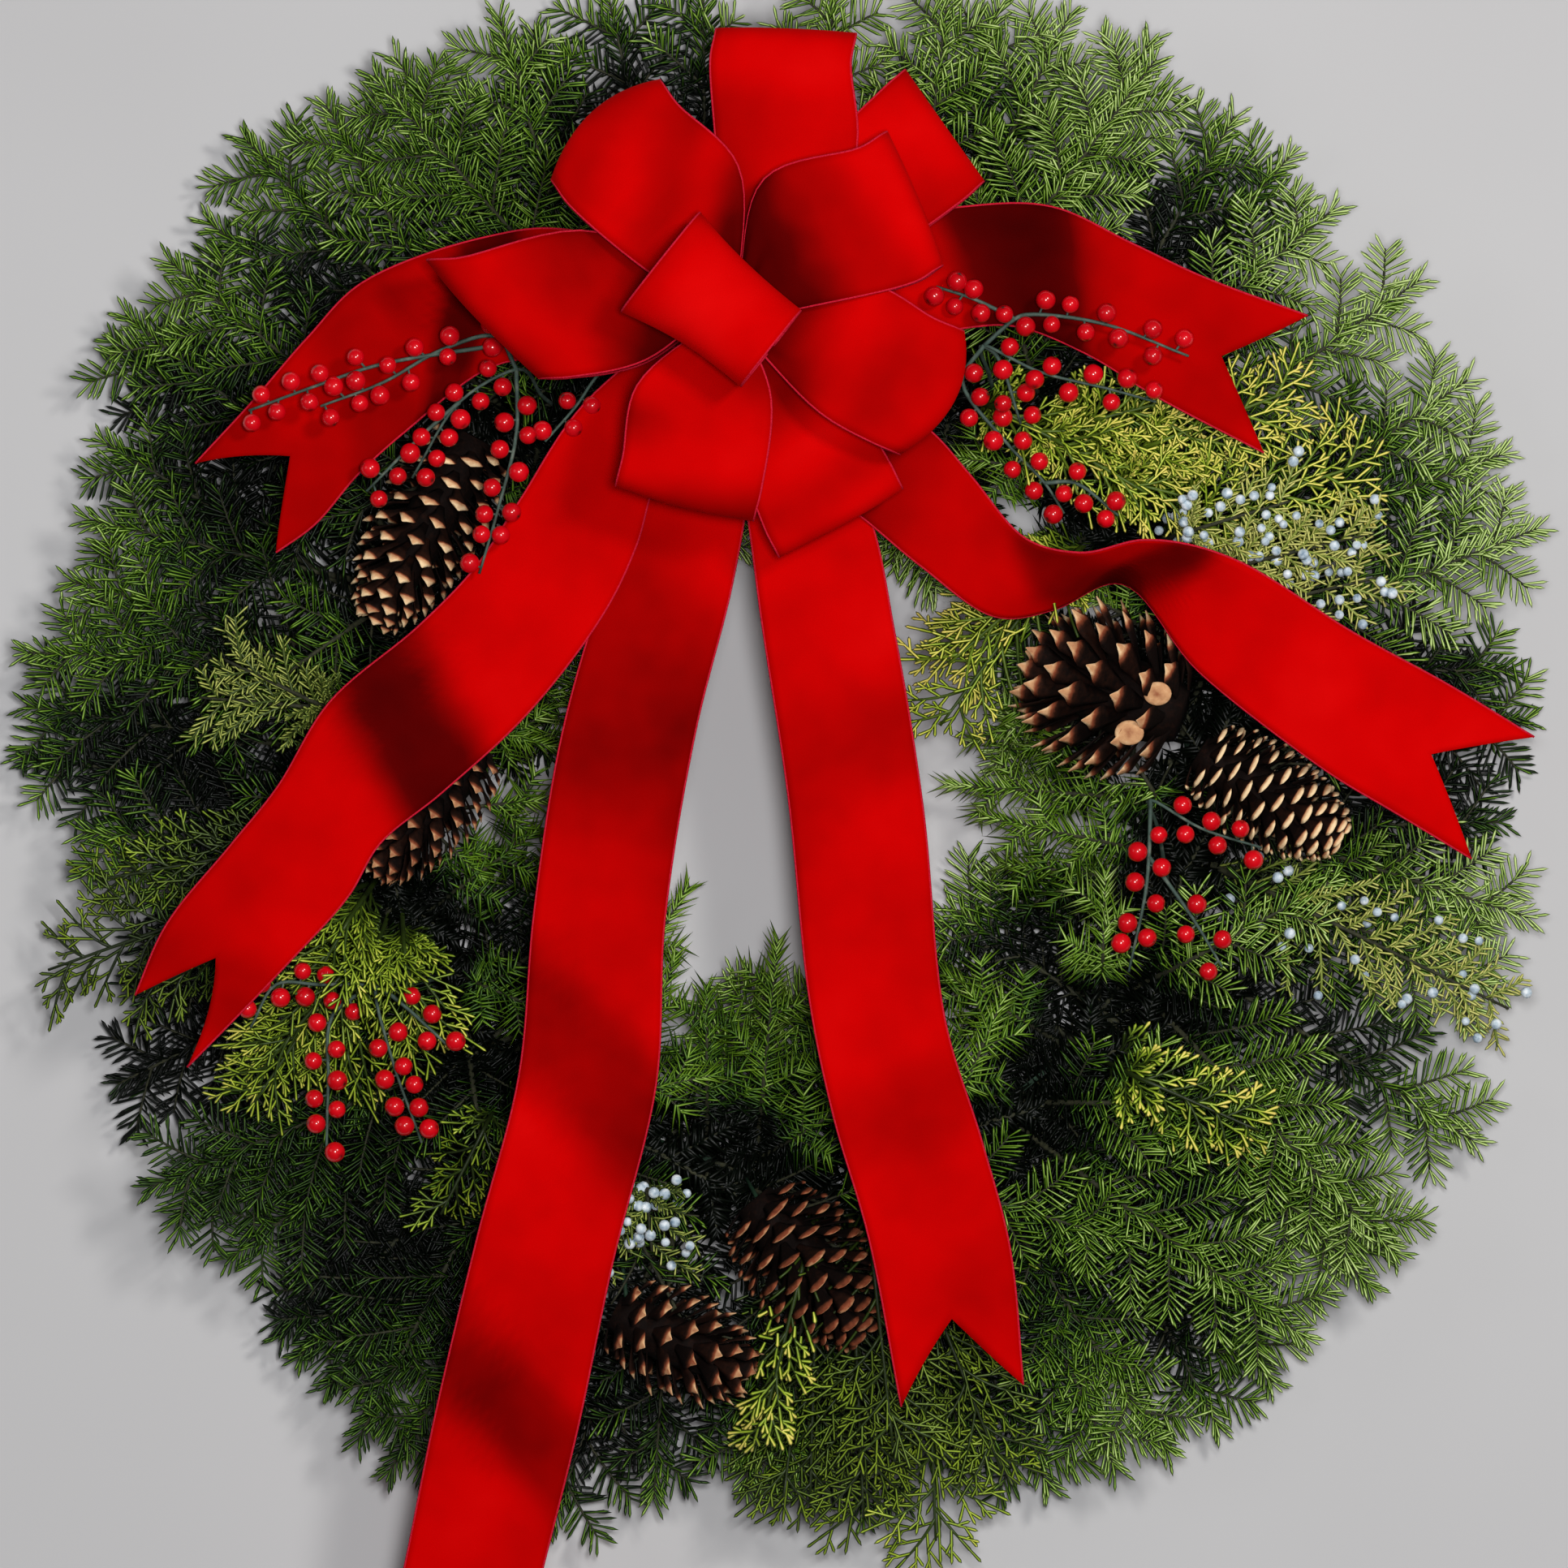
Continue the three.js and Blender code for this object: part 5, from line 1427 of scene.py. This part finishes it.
CEDAR_FILLERS = [
    spray_of(240, 190, 190, 326, 48, 10, breadth=34, turn=24, golden=0.3),
    spray_of(241, 196, 200, 318, 50, 10, breadth=34, turn=24, golden=0.3),
    spray_of(242, 194, 208, 258, 80, 8, breadth=56, turn=16, fine=24, base=0.54),
    spray_of(243, 198, 215, 248, 78, 8, breadth=46, turn=16, fine=24, base=0.52),
    spray_of(244, 201, 211, 284, 76, 12, breadth=44, turn=14, fine=24, base=0.56),
    spray_of(256, 198, 218, 212, 76, 8, breadth=46, turn=18, fine=22, base=0.5),
    spray_of(245, 229, 233, 264, 62, 4, breadth=26, turn=30, base=0.34, golden=0.5),
    spray_of(246, 36, 30, 88, 66, 6, breadth=44, turn=22, fine=22, base=0.48, golden=0.4),
    spray_of(247, 66, 46, 196, 78, 2, breadth=46, turn=28, base=0.4),
    spray_of(248, 59, 36, 208, 80, 4, breadth=50, turn=28, base=0.4),
    spray_of(249, 52, 42, 250, 76, 4, breadth=50, turn=30, base=0.42),
    spray_of(250, 44, 36, 290, 72, 8, breadth=46, turn=30, base=0.42),
    spray_of(252, 283, 287, 345, 56, 10, breadth=50, turn=34, base=0.22, golden=0.2, fine=20),
    spray_of(253, 279, 276, 354, 54, 8, breadth=50, turn=34, base=0.24, golden=0.2, fine=20),
    spray_of(254, 276, 268, 314, 74, 8, breadth=34, turn=18, fine=16, base=0.42, golden=0.75, width=2.3),
    spray_of(255, 281, 279, 322, 72, 6, breadth=50, turn=38, base=0.34, golden=0.1, fine=20),
    spray_of(257, 275, 272, 346, 50, 8, breadth=46, turn=34, base=0.22, golden=0.15, fine=20),
]
JUNIPER_SPRAYS = [
    spray_of(101, 19, 17, 288, 62, 4, berries=2),
    spray_of(102, 250, 255, 236, 66, 2, berries=2),
    spray_of(103, 347.1, 341, 356, 46, 4, berries=1),
    spray_of(104, 173.5, 174, 272, 64, 4, berries=0),
]
JUNIPER_FILLERS = [
    spray_of(260, 31, 27, 262, 80, 2, berries=2),
    spray_of(261, 25, 21, 292, 74, 2, berries=1),
    spray_of(262, 247, 249, 246, 74, 2, berries=2),
    spray_of(263, 176, 170, 262, 70, 4, berries=0),
]
# What each kind of spray is grown by and made of, and what its leaves are called.
KINDS = {
    "fir": (fir_spray, [FIR, BARK], "needles"),
    "cedar": (cedar_spray, [CEDAR], "scales"),
    "juniper": (juniper_spray, [JUNIPER, BARK, BLOOM], "leaves"),
}


def fir_sprays():
    rows = []
    for i, (tip, reach) in enumerate(OUTER_TIPS):
        level, droop = ((11, -2), (24, 6))[i % 2]
        rows.append((i * 360 / 14, tip, reach - LAST_NEEDLES, level, droop))
    for i in range(7):
        root = 12.9 + 360 * i / 7
        rows.append((root, root - 3, 104, 10 + 8 * (i % 3), -2))
    for root, tip, reach in UPPER_SPRAYS:
        rows.append((root, tip, reach - LAST_NEEDLES, 46, 2))
    return [spray_of(FIR_SEED + i, *row) for i, row in enumerate(rows)]


def build_greenery():
    for kind, sprays in (("fir", fir_sprays()), ("cedar", CEDAR_SPRAYS), ("juniper", JUNIPER_SPRAYS)):
        grow, materials, leaves = KINDS[kind]
        for number, spray in enumerate(sprays, 1):
            name = f"{kind}_spray_{number:02d}"
            shape = Shape()
            grow(shape, spray)
            shape.build(f"{name}_{leaves}", materials, kind, [name])


def build_filler(name, kind, sprays, *form):
    """More sprays from the same ring, as one piece."""
    grow, materials, _ = KINDS[kind]
    shape = Shape()
    for spray in sprays:
        grow(shape, spray, *form)
    shape.build(name, materials, kind)


def sprays_round(seed, count, root, tip, reaches, levels, droop, **form):
    """Sprays at even steps round the ring, with these reaches and levels in turn."""
    return [
        spray_of(
            seed + i,
            root + i * 360 / count,
            tip + i * 360 / count,
            reaches[i % len(reaches)],
            levels[i % len(levels)],
            droop,
            **form,
        )
        for i in range(count)
    ]


def build_fillers():
    outer = [
        spray_of(OUTER_SEED + i, (i + 0.5) * 360 / 14, tip, reach - LAST_NEEDLES, 34, 2)
        for i, (tip, reach) in enumerate(FILLER_TIPS)
    ]
    rim = [
        spray_of(RIM_SEED + i, tip + 5 - 10 * (i % 2), tip, reach - LAST_NEEDLES, 18 + 9 * (i % 3), 4)
        for i, (tip, reach) in enumerate(RIM_TIPS)
    ]
    extra = [spray_of(EXTRA_SEED + i, *row, 22 + 9 * (i % 3), 4) for i, row in enumerate(INNER_EXTRAS)]
    # The negative shade of the across, deep and inner sprays is painted shade: they lie under the other
    # sprays.
    across = sprays_round(ACROSS_SEED, 17, 6, 30, (262, 274, 286), (46, 51), 4, shade=-0.06)
    deep = sprays_round(DEEP_SEED, 24, 4, 34, (206, 224, 242), (12, 19, 26), 2, shade=-0.1)
    inner = sprays_round(INNER_SEED, 13, 10, 2, (112, 118, 124), (30, 38), 6, shade=-0.08)
    inner_across = sprays_round(INNER_ACROSS_SEED, 13, 16, 36, (150, 158), (42, 48, 54), 2)
    # Each group's sprays, how far their twigs reach, their pairs of twigs, where the first pair
    # starts, and the outline of the needles.
    for name, *group in (
        ("outer", outer, 54, 6, 40),
        ("rim", rim, 44, 4, 90),
        ("across", across, 46, 5, 4),
        ("deep", deep, 44, 4, 4, DEEP_PROFILE),
        ("inner", inner, 34, 4, 6, SPIKE_PROFILE),
        ("inner_across", inner_across, 34, 4, 4, SPIKE_PROFILE),
        ("inner_extra", extra, 28, 3, 20, SPIKE_PROFILE),
    ):
        build_filler("fir_filler_" + name, "fir", *group)
    build_filler("cedar_filler", "cedar", CEDAR_FILLERS)
    build_filler("juniper_filler", "juniper", JUNIPER_FILLERS)


def finish_wire():
    for name in ("wire_ring_frame", "bow_tie_wire"):
        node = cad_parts[name]
        node.data.materials.clear()
        node.data.materials.append(WIRE)


def build_floor():
    bpy.ops.mesh.primitive_plane_add(size=FLOOR_SIZE, location=(0, 0, 0))
    floor = bpy.context.object
    floor.name = "floor"
    floor.data.materials.append(FLOOR)


make_camera()
make_studio()
build_floor()
for level, name in enumerate(TAILS):
    build_tail(name, level)
for order, name in enumerate(LOOPS):
    build_loop(name, order)
build_centre_loop()
for number, name in enumerate(CONES):
    build_cone(name, CONE_SEED + number)
for name in BERRY_SPRAYS:
    build_berries(name)
build_greenery()
build_fillers()
finish_wire()
